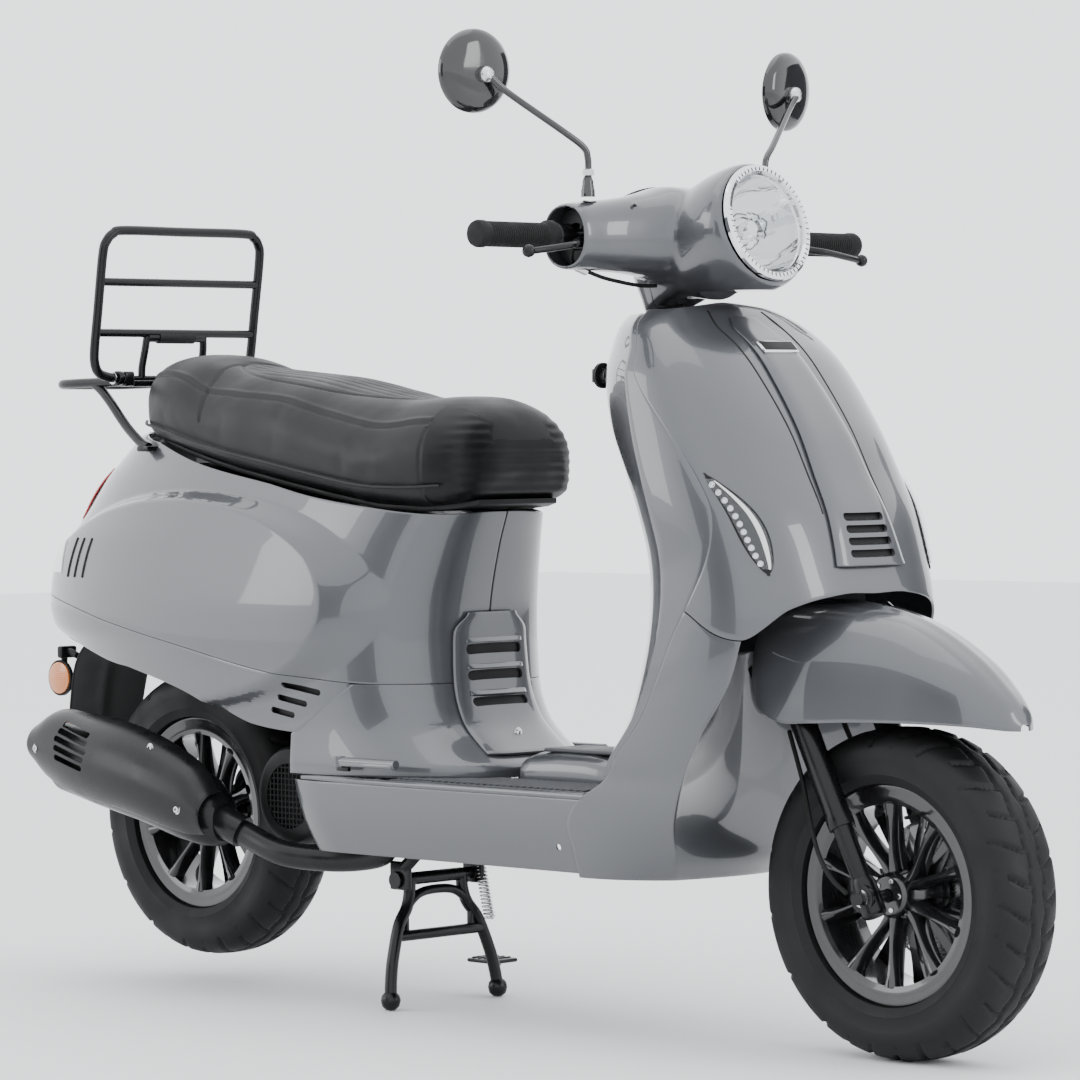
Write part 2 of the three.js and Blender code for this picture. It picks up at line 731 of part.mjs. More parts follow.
// ---------------------------------------------------------------- stand
function centreStand() {
  const leg = (side) => rod([[side * 50, 152, 178], [side * 52, 151, 150], [side * 78, 147, 112],
    [side * 99, 139, 44], [side * 103, 136, 16]], 8.6, 6, 8);
  const arch = rod([[-50, 152, 178], [50, 152, 178]], 9, 8);
  const cross = rod([[-84, 145, 100], [84, 145, 100]], 7.5);
  const ball = new THREE.SphereGeometry(14, 10, 8).rotateX(Math.PI / 2);
  const foot = (side) => ball.clone().translate(side * 103, 136, 14);
  const tread = box([98, 138, 44], [150, 196, 52]);
  const pin = drum(8.4, -76, 76, 10).translate(...STAND_PIVOT);
  return join(leg(-1), leg(1), arch, cross, foot(-1), foot(1), tread, pin);
}

// ---------------------------------------------------------------- wheels
function tyre({ radius, halfWidth }) {
  const profile = [];
  for (let i = 0; i <= 6; i += 1) {
    const angle = (i / 6 - 0.5) * Math.PI;
    const [a, b] = onSuperellipse(angle, 2.6);
    profile.push([172 + (radius - 172) * b, halfWidth * a]);
  }
  const bead = [[RIM_RADIUS + 2.4, 47], [RIM_RADIUS + 2.4, RIM_HALF - 4.4], [RIM_BED + GAP, RIM_HALF - 4.4]];
  profile.push(...bead, ...bead.map(([r, x]) => [r, -x]).reverse());
  return turnedX(closedProfile(profile), WHEEL_SEGMENTS);
}

function rim(hubHalf, boreRadius) {
  const flange = 4;
  const well = RIM_BED - 7;
  const halfProfile = [
    [RIM_BED, RIM_HALF - flange],
    [RIM_RADIUS, RIM_HALF - flange],
    [RIM_RADIUS, RIM_HALF],
    [well, RIM_HALF - 2],
  ];
  const otherHalf = halfProfile.map(([r, x]) => [r, -x]).reverse();
  const band = turnedX(closedProfile([...halfProfile, ...otherHalf]), WHEEL_SEGMENTS);
  const hub = drum(30, -hubHalf, hubHalf, 14);
  const parts = [band, hub];
  for (let i = 0; i < 10; i += 1) {
    const lean = (i % 2 ? -1 : 1) * 0.16;
    const spoke = box([-9, -6, 24], [9, 6, RIM_BED - 4]);
    spoke.rotateX(lean).rotateX(((i - (i % 2)) / 10) * 2 * Math.PI + (i % 2 ? 0.3 : 0));
    parts.push(spoke);
  }
  return cut(join(...parts), drum(boreRadius, -hubHalf - 5, hubHalf + 5, 12));
}

function brakeDisc() {
  const ringPart = turnedX(closedProfile([[66, 50], [92, 50], [92, 54], [66, 54]]), 20);
  const carrier = turnedX(closedProfile([[20, 46], [70, 50], [70, 53], [20, 53]]), 14);
  return join(ringPart, carrier);
}

// ---------------------------------------------------------------- steering, in its tilted frame
function forkUpper() {
  const onLeg = (side, height) => [side * LEG_X, FORK_OFFSET, height];
  const leg = (side) => rod([onLeg(side, FORK_UPPER_END), onLeg(side, 562)], 17, 12);
  const bore = (side) => rod([onLeg(side, 300), onLeg(side, 530)], 13.6, 12);
  const yoke = box([-90, FORK_OFFSET - 12, 538], [90, 20, 562]);
  const stem = rod([[0, 0, 550], [0, 0, 1118]], 15, 12);
  return cut(join(leg(-1), leg(1), yoke, stem), bore(-1), bore(1));
}

function forkSlider() {
  const leg = (side) => rod([[side * LEG_X, FORK_OFFSET, 206], [side * LEG_X, FORK_OFFSET, 450]], 12.8, 12);
  const clamp = (side) => rod([[side * LEG_X, FORK_OFFSET, 198], [side * LEG_X, FORK_OFFSET, 248]], 16, 12);
  const axle = drum(8, -99, 99, 12).translate(0, FORK_OFFSET, AXLE_ALONG);
  const caliper = box([60, FORK_OFFSET + 18, 250], [90, FORK_OFFSET + 62, 306]);
  const slot = box([57, FORK_OFFSET + 8, 240], [66, FORK_OFFSET + 50, 320]);
  const mount = box([74, FORK_OFFSET, 222], [86, FORK_OFFSET + 50, FORK_UPPER_END - FORK_TRAVEL - 3]);
  return join(leg(-1), leg(1), clamp(-1), clamp(1), axle, cut(caliper, slot), mount);
}

function frontFender() {
  const first = FENDER[0][0];
  const last = FENDER[FENDER.length - 1][0];
  return panel((u, v) => {
    const y = first + (last - first) * v ** 1.25;
    const [, halfWidth, ridge, low] = FENDER[0].map((_, k) => along(FENDER, y, k));
    const [a, b] = onSuperellipse((u - 0.5) * Math.PI, FENDER_POWER);
    return [halfWidth * a, y, low + (ridge - low) * b];
  }, 10, 12, 2.6, -1);
}

function speedoCable() {
  return rod([[-96, FORK_OFFSET + 16, 236], [-100, FORK_OFFSET + 30, 270], [-88, FORK_OFFSET + 38, 330],
    [-66, FORK_OFFSET + 42, 400], [-60, FORK_OFFSET + 42, 470]], 3, 8, 12);
}

// ---------------------------------------------------------------- handlebar and cowl
// The cowl: a bowl round the headlight, a wing to each side and a neck down to the shield.
function cowlBody(inset) {
  const mouth = HEADLIGHT.radius + 4 - inset;
  const bowl = turned([[0, -inset], [mouth, -inset], [mouth + 5, 26], [mouth, 78], [58 - inset, 150],
    [30, 190 - inset], [0, 200 - inset]], 18);
  bowl.rotateX(-HEADLIGHT.tilt).translate(0, HEADLIGHT.y, HEADLIGHT.z);
  const wingRing = ([x, y, z, halfY, halfZ]) => ring((a, b) => [x, BAR.y + y + a, BAR.z + z + b],
    halfY - inset, halfZ - inset, 2.3, 14);
  const tip = 206 + inset * 2;
  const halfWing = [
    [50, -26, 6, 70, 62],
    [110, -14, 3, 48, 50],
    [170, -2, 1, 42, 45],
    [tip, 0, 0, 40, 43],
  ];
  const otherWing = halfWing.map(([x, ...rest]) => [-x, ...rest]).reverse();
  const wing = loft([...otherWing, ...halfWing].map(wingRing));
  const neckRing = (y, z, lean, halfX, halfY) => ring((a, b) => [a, y + b, z - b * lean],
    halfX - inset, halfY - inset, 2.2, 14);
  const neck = loft([
    neckRing(-347, 972 - inset * 2, 0.42, 44, 64),
    neckRing(-346, 988, 0.36, 48, 68),
    neckRing(-342, 1030, 0.2, 66, 80),
    neckRing(-344, 1060, 0, 78, 80),
  ]);
  return join(bowl, wing, neck);
}

const COWL_SPLIT_Y = BAR.y - 4;

// Front and rear shells of the cowl, open at the headlight, the wing ends and the neck.
function cowls() {
  const opening = drum(HEADLIGHT.radius - 3, -14, 24, 18).rotateZ(Math.PI / 2)
    .rotateX(-HEADLIGHT.tilt).translate(0, HEADLIGHT.y, HEADLIGHT.z);
  const stemY = BAR.y - 10;
  const bootHole = (side) => rod([[side * 168, stemY, 1060], [side * 168, stemY, 1120]], 10, 8);
  const shell = cut(cowlBody(0), join(cowlBody(SKIN), opening, bootHole(-1), bootHole(1)));
  const half = (from, to) => common(shell, box([-260, from, 900], [260, to, 1200]));
  return {
    front: half(-600, COWL_SPLIT_Y - GAP / 2),
    rear: half(COWL_SPLIT_Y + GAP / 2, -100),
  };
}

function handlebar() {
  const tube = rod([[-350, BAR.y, BAR.z], [350, BAR.y, BAR.z]], BAR.radius, 8);
  const podInner = 196;
  const podOuter = 222;
  const rightPod = drum(17, -podOuter, -podInner, 14).translate(0, BAR.y, BAR.z);
  const leftPod = drum(17, podInner, podOuter, 14).translate(0, BAR.y, BAR.z);
  const fromBar = (x, [y0, z0], [y1, z1], halfWidth) => (
    box([x - halfWidth, BAR.y + y0, BAR.z + z0], [x + halfWidth, BAR.y + y1, BAR.z + z1]));
  const perch = (side) => fromBar(side * 186, [-34, -16], [0, 4], 12);
  const leverGap = (side) => fromBar(side * 186, [-38, -12], [-13, 0], 16);
  const buttonHole = (side) => fromBar(side * 209, [10, -4], [30, 8], 5);
  const switchHole = fromBar(209, [12, 9], [24, 18], 8);
  const boss = (side) => rod([[side * 168, BAR.y, BAR.z], [side * 168, BAR.y - 10, 1096]], 7);
  const stemClamp = rod([[0, BAR.y, BAR.z], [0, stemAxisY(1012) + 1, 1012]], 17.5, 10);
  const stemHole = rod([[0, stemAxisY(960), 960], [0, stemAxisY(1004), 1004]], 15.8, 12);
  const whole = join(tube, rightPod, leftPod, perch(-1), perch(1), boss(-1), boss(1), stemClamp);
  return cut(whole, stemHole, leverGap(-1), leverGap(1), buttonHole(-1), buttonHole(1), switchHole);
}

// Rubber grip: radius and x from its open inner end to the outer end.
const GRIP = [[0, 226], [20, 226], [20, 236], [16.5, 240], [16, 348], [17.5, 356], [15, 362], [0, 362]];

function grip() {
  const bore = drum(BAR.radius + 0.6, 200, 351, 12);
  return cut(turnedX(GRIP, 16), bore).translate(0, BAR.y, BAR.z);
}

function brakeLever() {
  const blade = rod([
    [-180, BAR.y - 26, BAR.z - 6],
    [-206, BAR.y - 28, BAR.z - 7],
    [-240, BAR.y - 56, BAR.z - 14],
    [-316, BAR.y - 52, BAR.z - 23],
  ], 4.4, 6, 6);
  const ball = new THREE.SphereGeometry(8.5, 8, 6).translate(-318, BAR.y - 52, BAR.z - 23);
  const eye = rod([[-186, BAR.y - 26, BAR.z - 10.5], [-186, BAR.y - 26, BAR.z - 1.5]], 9, 8);
  return join(blade, ball, eye);
}

function mirror() {
  const baseY = BAR.y - 10;
  const stem = rod([[-168, baseY, 1104], [-168, baseY - 2, 1146], [-176, baseY, 1166],
    [6 - MIRROR.x, MIRROR.y - 14, MIRROR.z - 8]], 4.5, 6, 7);
  const boot = rod([[-168, baseY, 1101], [-168, baseY, 1128]], 9.4, 8);
  const ball = new THREE.SphereGeometry(11, 8, 6).translate(4 - MIRROR.x, MIRROR.y - 8, MIRROR.z - 6);
const headProfile = [
    [0, -9],
    [30, -8],
    [MIRROR.radius - 4, -2],
    [MIRROR.radius, 4],
    [MIRROR.radius, 9],
    [0, 9],
  ];
  const head = turned(headProfile, 20);
  head.rotateX(0.06).rotateZ(-0.16).translate(-MIRROR.x, MIRROR.y + 4, MIRROR.z);
  return join(stem, boot, ball, head);
}

function headlightUnit() {
  const mouth = HEADLIGHT.radius - 6;
  const outside = [[0, 96], [26, 94], [58, 60], [mouth, 8]];
  const inside = [[mouth - 3, 8], [55, 58], [24, 88], [0, 90]];
  const bowl = turned([...outside, ...inside], 18);
  return bowl.rotateX(-HEADLIGHT.tilt).translate(0, HEADLIGHT.y, HEADLIGHT.z);
}

function headlightLens() {
  const rimRadius = HEADLIGHT.radius;
  const lens = turned([[0, -18], [30, -17], [56, -13], [rimRadius - 2, -5], [rimRadius, -GAP],
    [rimRadius - 6, -GAP], [54, -9.5], [30, -13.5], [0, -14.5]], 20);
  return lens.rotateX(-HEADLIGHT.tilt).translate(0, HEADLIGHT.y, HEADLIGHT.z);
}

// ---------------------------------------------------------------- engine
function engineCase() {
  const cvtRing = (x, halfZ, halfY) => ring((a, b) => [x, 452 + b, 268 + a], halfZ, halfY, 3, 16);
  const cvt = loft([cvtRing(78, 60, 222), cvtRing(140, 60, 222), cvtRing(152, 50, 208)]);
  const crank = drum(66, -66, 90, 16).translate(0, 300, 274);
  const lug = (side) => box([side * 57 - 9, 190, 286], [side * 57 + 9, 262, 318]);
  const pin = drum(9, -66, 66, 10).translate(...ENGINE_PIVOT);
  const axle = drum(9, -66, 110, 10).translate(...REAR_AXLE);
  const shockBoss = box([98, 596, 318], [122, 626, 345]);
  return join(cvt, crank, lug(-1), lug(1), pin, axle, shockBoss);
}

// Cooling shroud: the fan cover on the crankcase's right side and the cylinder's jacket.
function engineShroud() {
  const fan = drum(70, -128, -70, 18).translate(0, 316, 290);
  const duct = box([-112, 150, 252], [-70.4, 316, 328]);
  const jacket = box([-112, 140, 247], [40, 216, 276]);
  const grille = drum(46, -135, -110, 14).translate(0, 316, 290);
  return cut(join(fan, duct, jacket), grille);
}

// Stations of the silencer: y, x and height of its middle, half width, half height.
const CAN = [
  [770, -178, 336, 30, 34],
  [740, -178, 332, 42, 52],
  [560, -176, 300, 46, 56],
  [440, -172, 266, 42, 50],
  [408, -166, 252, 26, 30],
];
const CAN_WALL = 3;

function exhaust() {
  const rings = (stations, wall) => stations.map(([y, x, z, halfX, halfZ]) => (
    ring((a, b) => [x + a, y, z + b], halfX - wall, halfZ - wall, 2.4, 14)));
  const can = loft(rings(CAN, 0));
  const hollow = loft(rings(CAN.slice(1, -1), CAN_WALL));
  const tip = rod([[-168, 760, 306], [-168, 786, 308]], 9, 8);
  const tipBore = rod([[-168, 700, 303], [-168, 790, 308]], 6, 8);
  const pipe = rod([[-166, 420, 254], [-158, 370, 234], [-148, 306, 212], [-122, 240, 206],
    [-101, 190, 209], [-92, 158, 218], [-92, 152, 239]], 14, 8, 12);
  return cut(join(can, pipe, tip), join(hollow, tipBore));
}

// Stations of the heat shield: y, height of its middle, half height.
const HEAT_SHIELD = [
  [400, 262, 34],
  [440, 278, 56],
  [560, 312, 66],
  [690, 332, 64],
  [750, 344, 54],
  [784, 350, 30],
];
const HEAT_SHIELD_X = -178;
const HEAT_SHIELD_REACH = 66;

function heatShield() {
  const first = HEAT_SHIELD[0][0];
  const last = HEAT_SHIELD[HEAT_SHIELD.length - 1][0];
  return panel((u, v) => {
    const y = first + (last - first) * v;
    const angle = THREE.MathUtils.degToRad(-45 + 130 * u);
    const reach = HEAT_SHIELD_REACH * (0.68 + 0.32 * Math.sin(Math.PI * v));
    const middle = along(HEAT_SHIELD, y, 1);
    const halfHeight = along(HEAT_SHIELD, y, 2);
    return [HEAT_SHIELD_X - reach * Math.cos(angle), y, middle + halfHeight * Math.sin(angle)];
  }, 6, 8, 2, 1);
}

function airBox() {
  return loft([
    ring((a, b) => [88, 470 + b, 372 + a], 34, 104, 4, 12),
    ring((a, b) => [146, 470 + b, 372 + a], 34, 104, 4, 12),
    ring((a, b) => [156, 470 + b, 372 + a], 26, 92, 4, 12)]);
}

function kickLever() {
  const arm = rod([[164, 300, 262], [172, 340, 240], [174, 420, 206], [172, 470, 196]], 7, 6, 6);
  const pedal = rod([[166, 470, 196], [206, 476, 196]], 9, 8);
  const boss = drum(13, 153, 172, 12).translate(0, 300, 262);
  return join(arm, pedal, boss);
}

// ---------------------------------------------------------------- rear shock
const SHOCK = { x: 110, y: 611, spring: [393, 555] };

function shockDamper() {
  const top = box([SHOCK.x - 10.5, SHOCK.y - 12, 600], [SHOCK.x + 10.5, SHOCK.y + 12, 639]);
  const can = rod([[SHOCK.x, SHOCK.y, 470], [SHOCK.x, SHOCK.y, 606]], 15, 12);
  const collar = rod([[SHOCK.x, SHOCK.y, 562], [SHOCK.x, SHOCK.y, 570]], 27, 12);
  const bore = rod([[SHOCK.x, SHOCK.y, 460], [SHOCK.x, SHOCK.y, 596]], 12, 12);
  return cut(join(top, can, collar), bore);
}

function shockRod() {
  const shaft = rod([[SHOCK.x, SHOCK.y, 347], [SHOCK.x, SHOCK.y, 500]], 5, 8);
  const seat = rod([[SHOCK.x, SHOCK.y, 378], [SHOCK.x, SHOCK.y, 388]], 26, 12);
  return join(shaft, seat);
}

function shockSpring() {
  const turns = 6;
  const perTurn = 7;
  const [low, high] = SHOCK.spring;
  const points = [];
  for (let i = 0; i <= turns * perTurn; i += 1) {
    const angle = (i / perTurn) * 2 * Math.PI;
    points.push([SHOCK.x + 21 * Math.cos(angle), SHOCK.y + 21 * Math.sin(angle),
      low + (high - low) * (i / (turns * perTurn))]);
  }
  return rod(points, 3.4, 5, turns * perTurn);
}

// ---------------------------------------------------------------- small moving pieces
function footpeg() {
  const hinge = rod([[-201, 128, 345], [-201, 128, 359]], 8, 10);
  const peg = rod([[-201, 124, 352], [-201, 14, 352]], 7.5, 8);
  return join(hinge, peg);
}

function ignitionKey() {
  const barrel = rod([[-62, -254, 872], [-62, -222, 872]], 9, 12);
  const bow = box([-64, -223, 860], [-60, -200, 884]);
  return join(barrel, bow);
}

// ---------------------------------------------------------------- assembly
addPiece('frame', frame(), BLACK_PAINT);
addPiece('leg_shield', legShield(), PAINT);
addPiece('centre_cover', centreCover(), PAINT);
addPiece('inner_leg_shield', innerLegShield(), PAINT);
addPair('front_signal', frontSignal(), CLEAR);
addPiece('lower_front_panel', lowerFrontPanel(), PAINT);
addPiece('floorboard', floorBoard(), PAINT);
addPair('side_skirt', sideSkirt(), PAINT);
addPiece('under_seat_panel', underSeatPanel(), PAINT);
addPiece('access_cover', accessCover(), PAINT);
addPair('side_panel', sidePanel(), PAINT);
addPair('lower_trim', lowerTrim(), PAINT);
addPiece('tail_light', tailLight(), RED_LENS);
addPiece('rear_mudguard', rearMudguard(), BLACK_PLASTIC);
addPiece('seat_bucket', seatBucket(), BLACK_PLASTIC);
addPiece('fuel_tank', fuelTank(), BLACK_PLASTIC);
addPiece('rack_base', rackBase(), BLACK_PAINT);
addPiece('rack_backrest', rackBackrest(), BLACK_PAINT);
addPiece('seat_base', seatBase(), BLACK_PLASTIC);
addPiece('seat_cushion', seatCushion(), VINYL);
addPiece('centre_stand', centreStand(), BLACK_PAINT);

const frontWheel = new THREE.Group();
frontWheel.position.set(...FRONT_AXLE);
addPiece('front_tyre', tyre(FRONT_TYRE), RUBBER, frontWheel);
addPiece('front_rim', rim(42, 9), BLACK_ALLOY, frontWheel);
addPiece('brake_disc', brakeDisc(), STEEL, frontWheel);
scooter.add(frontWheel);

const rearWheel = new THREE.Group();
rearWheel.position.set(...REAR_AXLE);
addPiece('rear_tyre', tyre(REAR_TYRE), RUBBER, rearWheel);
addPiece('rear_rim', rim(42, 10), BLACK_ALLOY, rearWheel);
scooter.add(rearWheel);

const steering = new THREE.Group();
steering.position.set(0, STEER_FOOT_Y, 0);
steering.rotation.x = -RAKE;
addPiece('fork_upper', forkUpper(), BLACK_PAINT, steering);
addPiece('fork_slider', forkSlider(), BLACK_PAINT, steering);
addPiece('speedo_cable', speedoCable(), RUBBER, steering);
scooter.add(steering);

addPiece('front_fender', frontFender(), PAINT);
const { front, rear } = cowls();
addPiece('cowl_front', front, PAINT);
addPiece('cowl_rear', rear, PAINT);
addPiece('handlebar', handlebar(), BLACK_PAINT);
addPiece('left_grip', grip(), RUBBER);
addPiece('throttle_grip', mirrored(grip()), RUBBER);
addPair('brake_lever', brakeLever(), BLACK_PAINT);
addPair('mirror', mirror(), BLACK_PLASTIC);
addPiece('headlight_unit', headlightUnit(), STEEL);
addPiece('headlight_lens', headlightLens(), CLEAR);
addPiece('start_button', box([-213, BAR.y + 16, BAR.z - 3], [-205, BAR.y + 26, BAR.z + 7]), BLACK_PLASTIC);
addPiece('horn_button', box([205, BAR.y + 16, BAR.z - 3], [213, BAR.y + 26, BAR.z + 7]), BLACK_PLASTIC);
addPiece('signal_switch', box([206, BAR.y + 13, BAR.z + 10], [212, BAR.y + 26, BAR.z + 17]), BLACK_PLASTIC);

addPiece('engine_case', engineCase(), ALLOY);
addPiece('engine_shroud', engineShroud(), BLACK_PLASTIC);
addPiece('exhaust', exhaust(), BLACK_PAINT);
addPiece('heat_shield', heatShield(), BLACK_PAINT);
addPiece('air_box', airBox(), BLACK_PLASTIC);
addPiece('kick_lever', kickLever(), BLACK_PAINT);
addPiece('shock_damper', shockDamper(), ALLOY);
addPiece('shock_rod', shockRod(), STEEL);
addPiece('shock_spring', shockSpring(), BLACK_PAINT);
addPair('footpeg', footpeg(), BLACK_PAINT);
addPiece('ignition_key', ignitionKey(), STEEL);

export default scooter;
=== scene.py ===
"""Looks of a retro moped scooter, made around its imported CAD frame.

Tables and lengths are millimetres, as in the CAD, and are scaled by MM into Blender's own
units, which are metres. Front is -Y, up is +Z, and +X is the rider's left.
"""
import math
import random

import bmesh
import bpy
import numpy as np
from mathutils import Matrix, Vector


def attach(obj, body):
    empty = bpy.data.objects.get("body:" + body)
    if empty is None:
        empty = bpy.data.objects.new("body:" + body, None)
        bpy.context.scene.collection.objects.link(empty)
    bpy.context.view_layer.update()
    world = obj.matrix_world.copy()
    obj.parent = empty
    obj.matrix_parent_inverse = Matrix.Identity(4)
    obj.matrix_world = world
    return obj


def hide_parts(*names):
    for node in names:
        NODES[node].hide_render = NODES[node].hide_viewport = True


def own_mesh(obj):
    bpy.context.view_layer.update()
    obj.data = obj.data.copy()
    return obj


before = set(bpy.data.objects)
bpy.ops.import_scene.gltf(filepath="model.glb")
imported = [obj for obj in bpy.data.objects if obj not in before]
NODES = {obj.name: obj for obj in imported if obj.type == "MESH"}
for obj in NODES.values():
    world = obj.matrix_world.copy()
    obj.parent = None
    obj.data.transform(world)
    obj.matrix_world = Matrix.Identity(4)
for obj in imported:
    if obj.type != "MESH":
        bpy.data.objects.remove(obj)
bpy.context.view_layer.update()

MM = 0.001
SKIN = 3.0

# ------------------------------------------------------------------ camera, light and floor
CAMERA_TARGET = Vector((0, -0.052, 0.6))
CAMERA_DISTANCE = 6.16
CAMERA_AZIMUTH = math.radians(-44.58)
CAMERA_ELEVATION = math.radians(1.816)
CAMERA_ROLL = math.radians(-0.6)


def make_camera():
    back = Vector((math.sin(CAMERA_AZIMUTH) * math.cos(CAMERA_ELEVATION),
                   -math.cos(CAMERA_AZIMUTH) * math.cos(CAMERA_ELEVATION),
                   math.sin(CAMERA_ELEVATION)))
    level = Vector((math.cos(CAMERA_AZIMUTH), math.sin(CAMERA_AZIMUTH), 0))
    upright = back.cross(level)
    right = math.cos(CAMERA_ROLL) * level + math.sin(CAMERA_ROLL) * upright
    up = back.cross(right)
    data = bpy.data.cameras.new("camera")
    data.lens = 150.3
    data.sensor_width = 36
    data.shift_x = 0.0049
    data.shift_y = 0.0345
    data.clip_end = 100
    camera = bpy.data.objects.new("camera", data)
    turn = Matrix((right, up, back)).transposed().to_4x4()
    camera.matrix_world = Matrix.Translation(CAMERA_TARGET + back * CAMERA_DISTANCE) @ turn
    bpy.context.scene.collection.objects.link(camera)
    bpy.context.scene.camera = camera


def area_light(name, place, aim, size, power, tone=(1, 1, 1)):
    data = bpy.data.lights.new(name, "AREA")
    data.shape = "RECTANGLE"
    data.size, data.size_y = size
    data.energy = power
    data.color = tone
    light = bpy.data.objects.new(name, data)
    light.location = place
    light.rotation_euler = (Vector(aim) - Vector(place)).to_track_quat("-Z", "Y").to_euler()
    bpy.context.scene.collection.objects.link(light)


def dark_card(name, place, wide, tall, facing):
    """Upright dark panel outside the view, which gives the paint something to mirror."""
    across = Vector((0, 1, 0)) if facing == "X" else Vector((1, 0, 0))
    corners = [Vector(place) + across * (a * wide / 2) + Vector((0, 0, b * tall / 2))
               for a, b in ((-1, -1), (1, -1), (1, 1), (-1, 1))]
    mesh = bpy.data.meshes.new(name)
    mesh.from_pydata(corners, [], [(0, 1, 2, 3)])
    card = bpy.data.objects.new(name, mesh)
    bpy.context.scene.collection.objects.link(card)
    material = bpy.data.materials.new(name)
    material.use_nodes = True
    material.node_tree.nodes["Principled BSDF"].inputs["Base Color"].default_value = (0.06, 0.06, 0.065, 1)
    mesh.materials.append(material)
    card.visible_camera = False


def make_studio():
    world = bpy.data.worlds.new("studio")
    bpy.context.scene.world = world
    world.use_nodes = True
    world.node_tree.nodes["Background"].inputs["Color"].default_value = (0.95, 0.97, 1.0, 1)
    world.node_tree.nodes["Background"].inputs["Strength"].default_value = 2.3
    area_light("overhead", (-0.4, 0.2, 4.4), (0, 0, 0.6), (3.0, 3.6), 40)
    area_light("rear_right_box", (-4.2, 3.6, 2.2), (0, 0.3, 0.6), (2.0, 2.4), 50)
    area_light("front_box", (1.4, -5.2, 2.4), (0, -0.5, 0.7), (1.2, 2.4), 55)
    dark_card("side_card", (-6.0, 0.3, 1.3), 2.6, 2.8, "X")
    dark_card("left_card", (5.5, -2.2, 1.5), 3.4, 3.0, "X")
    mesh = bpy.data.meshes.new("floor")
    reach = 14
    mesh.from_pydata([(-reach, -reach, 0), (reach, -reach, 0), (reach, reach, 0), (-reach, reach, 0)],
                     [], [(0, 1, 2, 3)])
    floor = bpy.data.objects.new("floor", mesh)
    bpy.context.scene.collection.objects.link(floor)
    material = bpy.data.materials.new("floor")
    material.use_nodes = True
    shader = material.node_tree.nodes["Principled BSDF"]
    shader.inputs["Base Color"].default_value = (0.80, 0.80, 0.80, 1)
    shader.inputs["Roughness"].default_value = 0.7
    mesh.materials.append(material)


make_camera()
make_studio()


# ------------------------------------------------------------------ materials
NOISE = "ShaderNodeTexNoise"
CELLS = "ShaderNodeTexVoronoi"


class Look:
    """A Principled material with helpers to add procedural detail to it."""

    def __init__(self, name, color, roughness, metallic=0.0, slot=None, **sockets):
        self.material = bpy.data.materials.new(name)
        self.material.use_nodes = True
        self.slot = slot or name
        self.tree = self.material.node_tree
        self.shader = self.tree.nodes["Principled BSDF"]
        self.shader.inputs["Base Color"].default_value = (*color, 1)
        self.shader.inputs["Roughness"].default_value = roughness
        self.shader.inputs["Metallic"].default_value = metallic
        for key, value in sockets.items():
            self.shader.inputs[key.replace("_", " ")].default_value = value
        self.color = color
        self.coords = self.tree.nodes.new("ShaderNodeTexCoord").outputs["Object"]
        self.height = None

    def texture(self, kind, scale, **settings):
        node = self.tree.nodes.new(kind)
        node.inputs["Scale"].default_value = scale
        for key, value in settings.items():
            if key in node.inputs:
                node.inputs[key].default_value = value
            else:
                setattr(node, key, value)
        self.tree.links.new(self.coords, node.inputs["Vector"])
        return node

    def stretch(self, x, y, z):
        """Later textures are drawn longer or shorter along each axis."""
        mapping = self.tree.nodes.new("ShaderNodeMapping")
        mapping.inputs["Scale"].default_value = (x, y, z)
        self.tree.links.new(self.coords, mapping.inputs["Vector"])
        self.coords = mapping.outputs["Vector"]
        return self

    def ramp(self, output, low, high, start=0.35, stop=0.65):
        node = self.tree.nodes.new("ShaderNodeMapRange")
        node.inputs["From Min"].default_value = start
        node.inputs["From Max"].default_value = stop
        node.inputs["To Min"].default_value = low
        node.inputs["To Max"].default_value = high
        self.tree.links.new(output, node.inputs["Value"])
        return node.outputs["Result"]

    def vary_color(self, output, spread, start=0.35, stop=0.65):
        """The base colour goes from darker to lighter by the spread with a texture's value."""
        mix = self.tree.nodes.new("ShaderNodeMix")
        mix.data_type = "RGBA"
        mix.inputs["A"].default_value = (*[c * (1 - spread) for c in self.color], 1)
        mix.inputs["B"].default_value = (*[min(c * (1 + spread), 1) for c in self.color], 1)
        self.tree.links.new(self.ramp(output, 0, 1, start, stop), mix.inputs["Factor"])
        self.tree.links.new(mix.outputs["Result"], self.shader.inputs["Base Color"])
        return self

    def vary_roughness(self, output, low, high):
        self.tree.links.new(self.ramp(output, low, high), self.shader.inputs["Roughness"])
        return self

    def detail(self, kind, scale, color=None, roughness=None, bump=None, **settings):
        """One texture, and what it drives: the spread of colour, range of roughness and height."""
        output = self.texture(kind, scale, **settings).outputs["Fac" if kind == NOISE else "Distance"]
        if color:
            self.vary_color(output, *color)
        if roughness:
            self.vary_roughness(output, *roughness)
        if bump:
            self.bump(output, *bump)
        return self

    def bump(self, output, distance, strength=1.0):
        node = self.tree.nodes.new("ShaderNodeBump")
        node.inputs["Strength"].default_value = strength
        node.inputs["Distance"].default_value = distance
        self.tree.links.new(output, node.inputs["Height"])
        if self.height is not None:
            self.tree.links.new(self.height, node.inputs["Normal"])
        self.height = node.outputs["Normal"]
        self.tree.links.new(self.height, self.shader.inputs["Normal"])
        return self


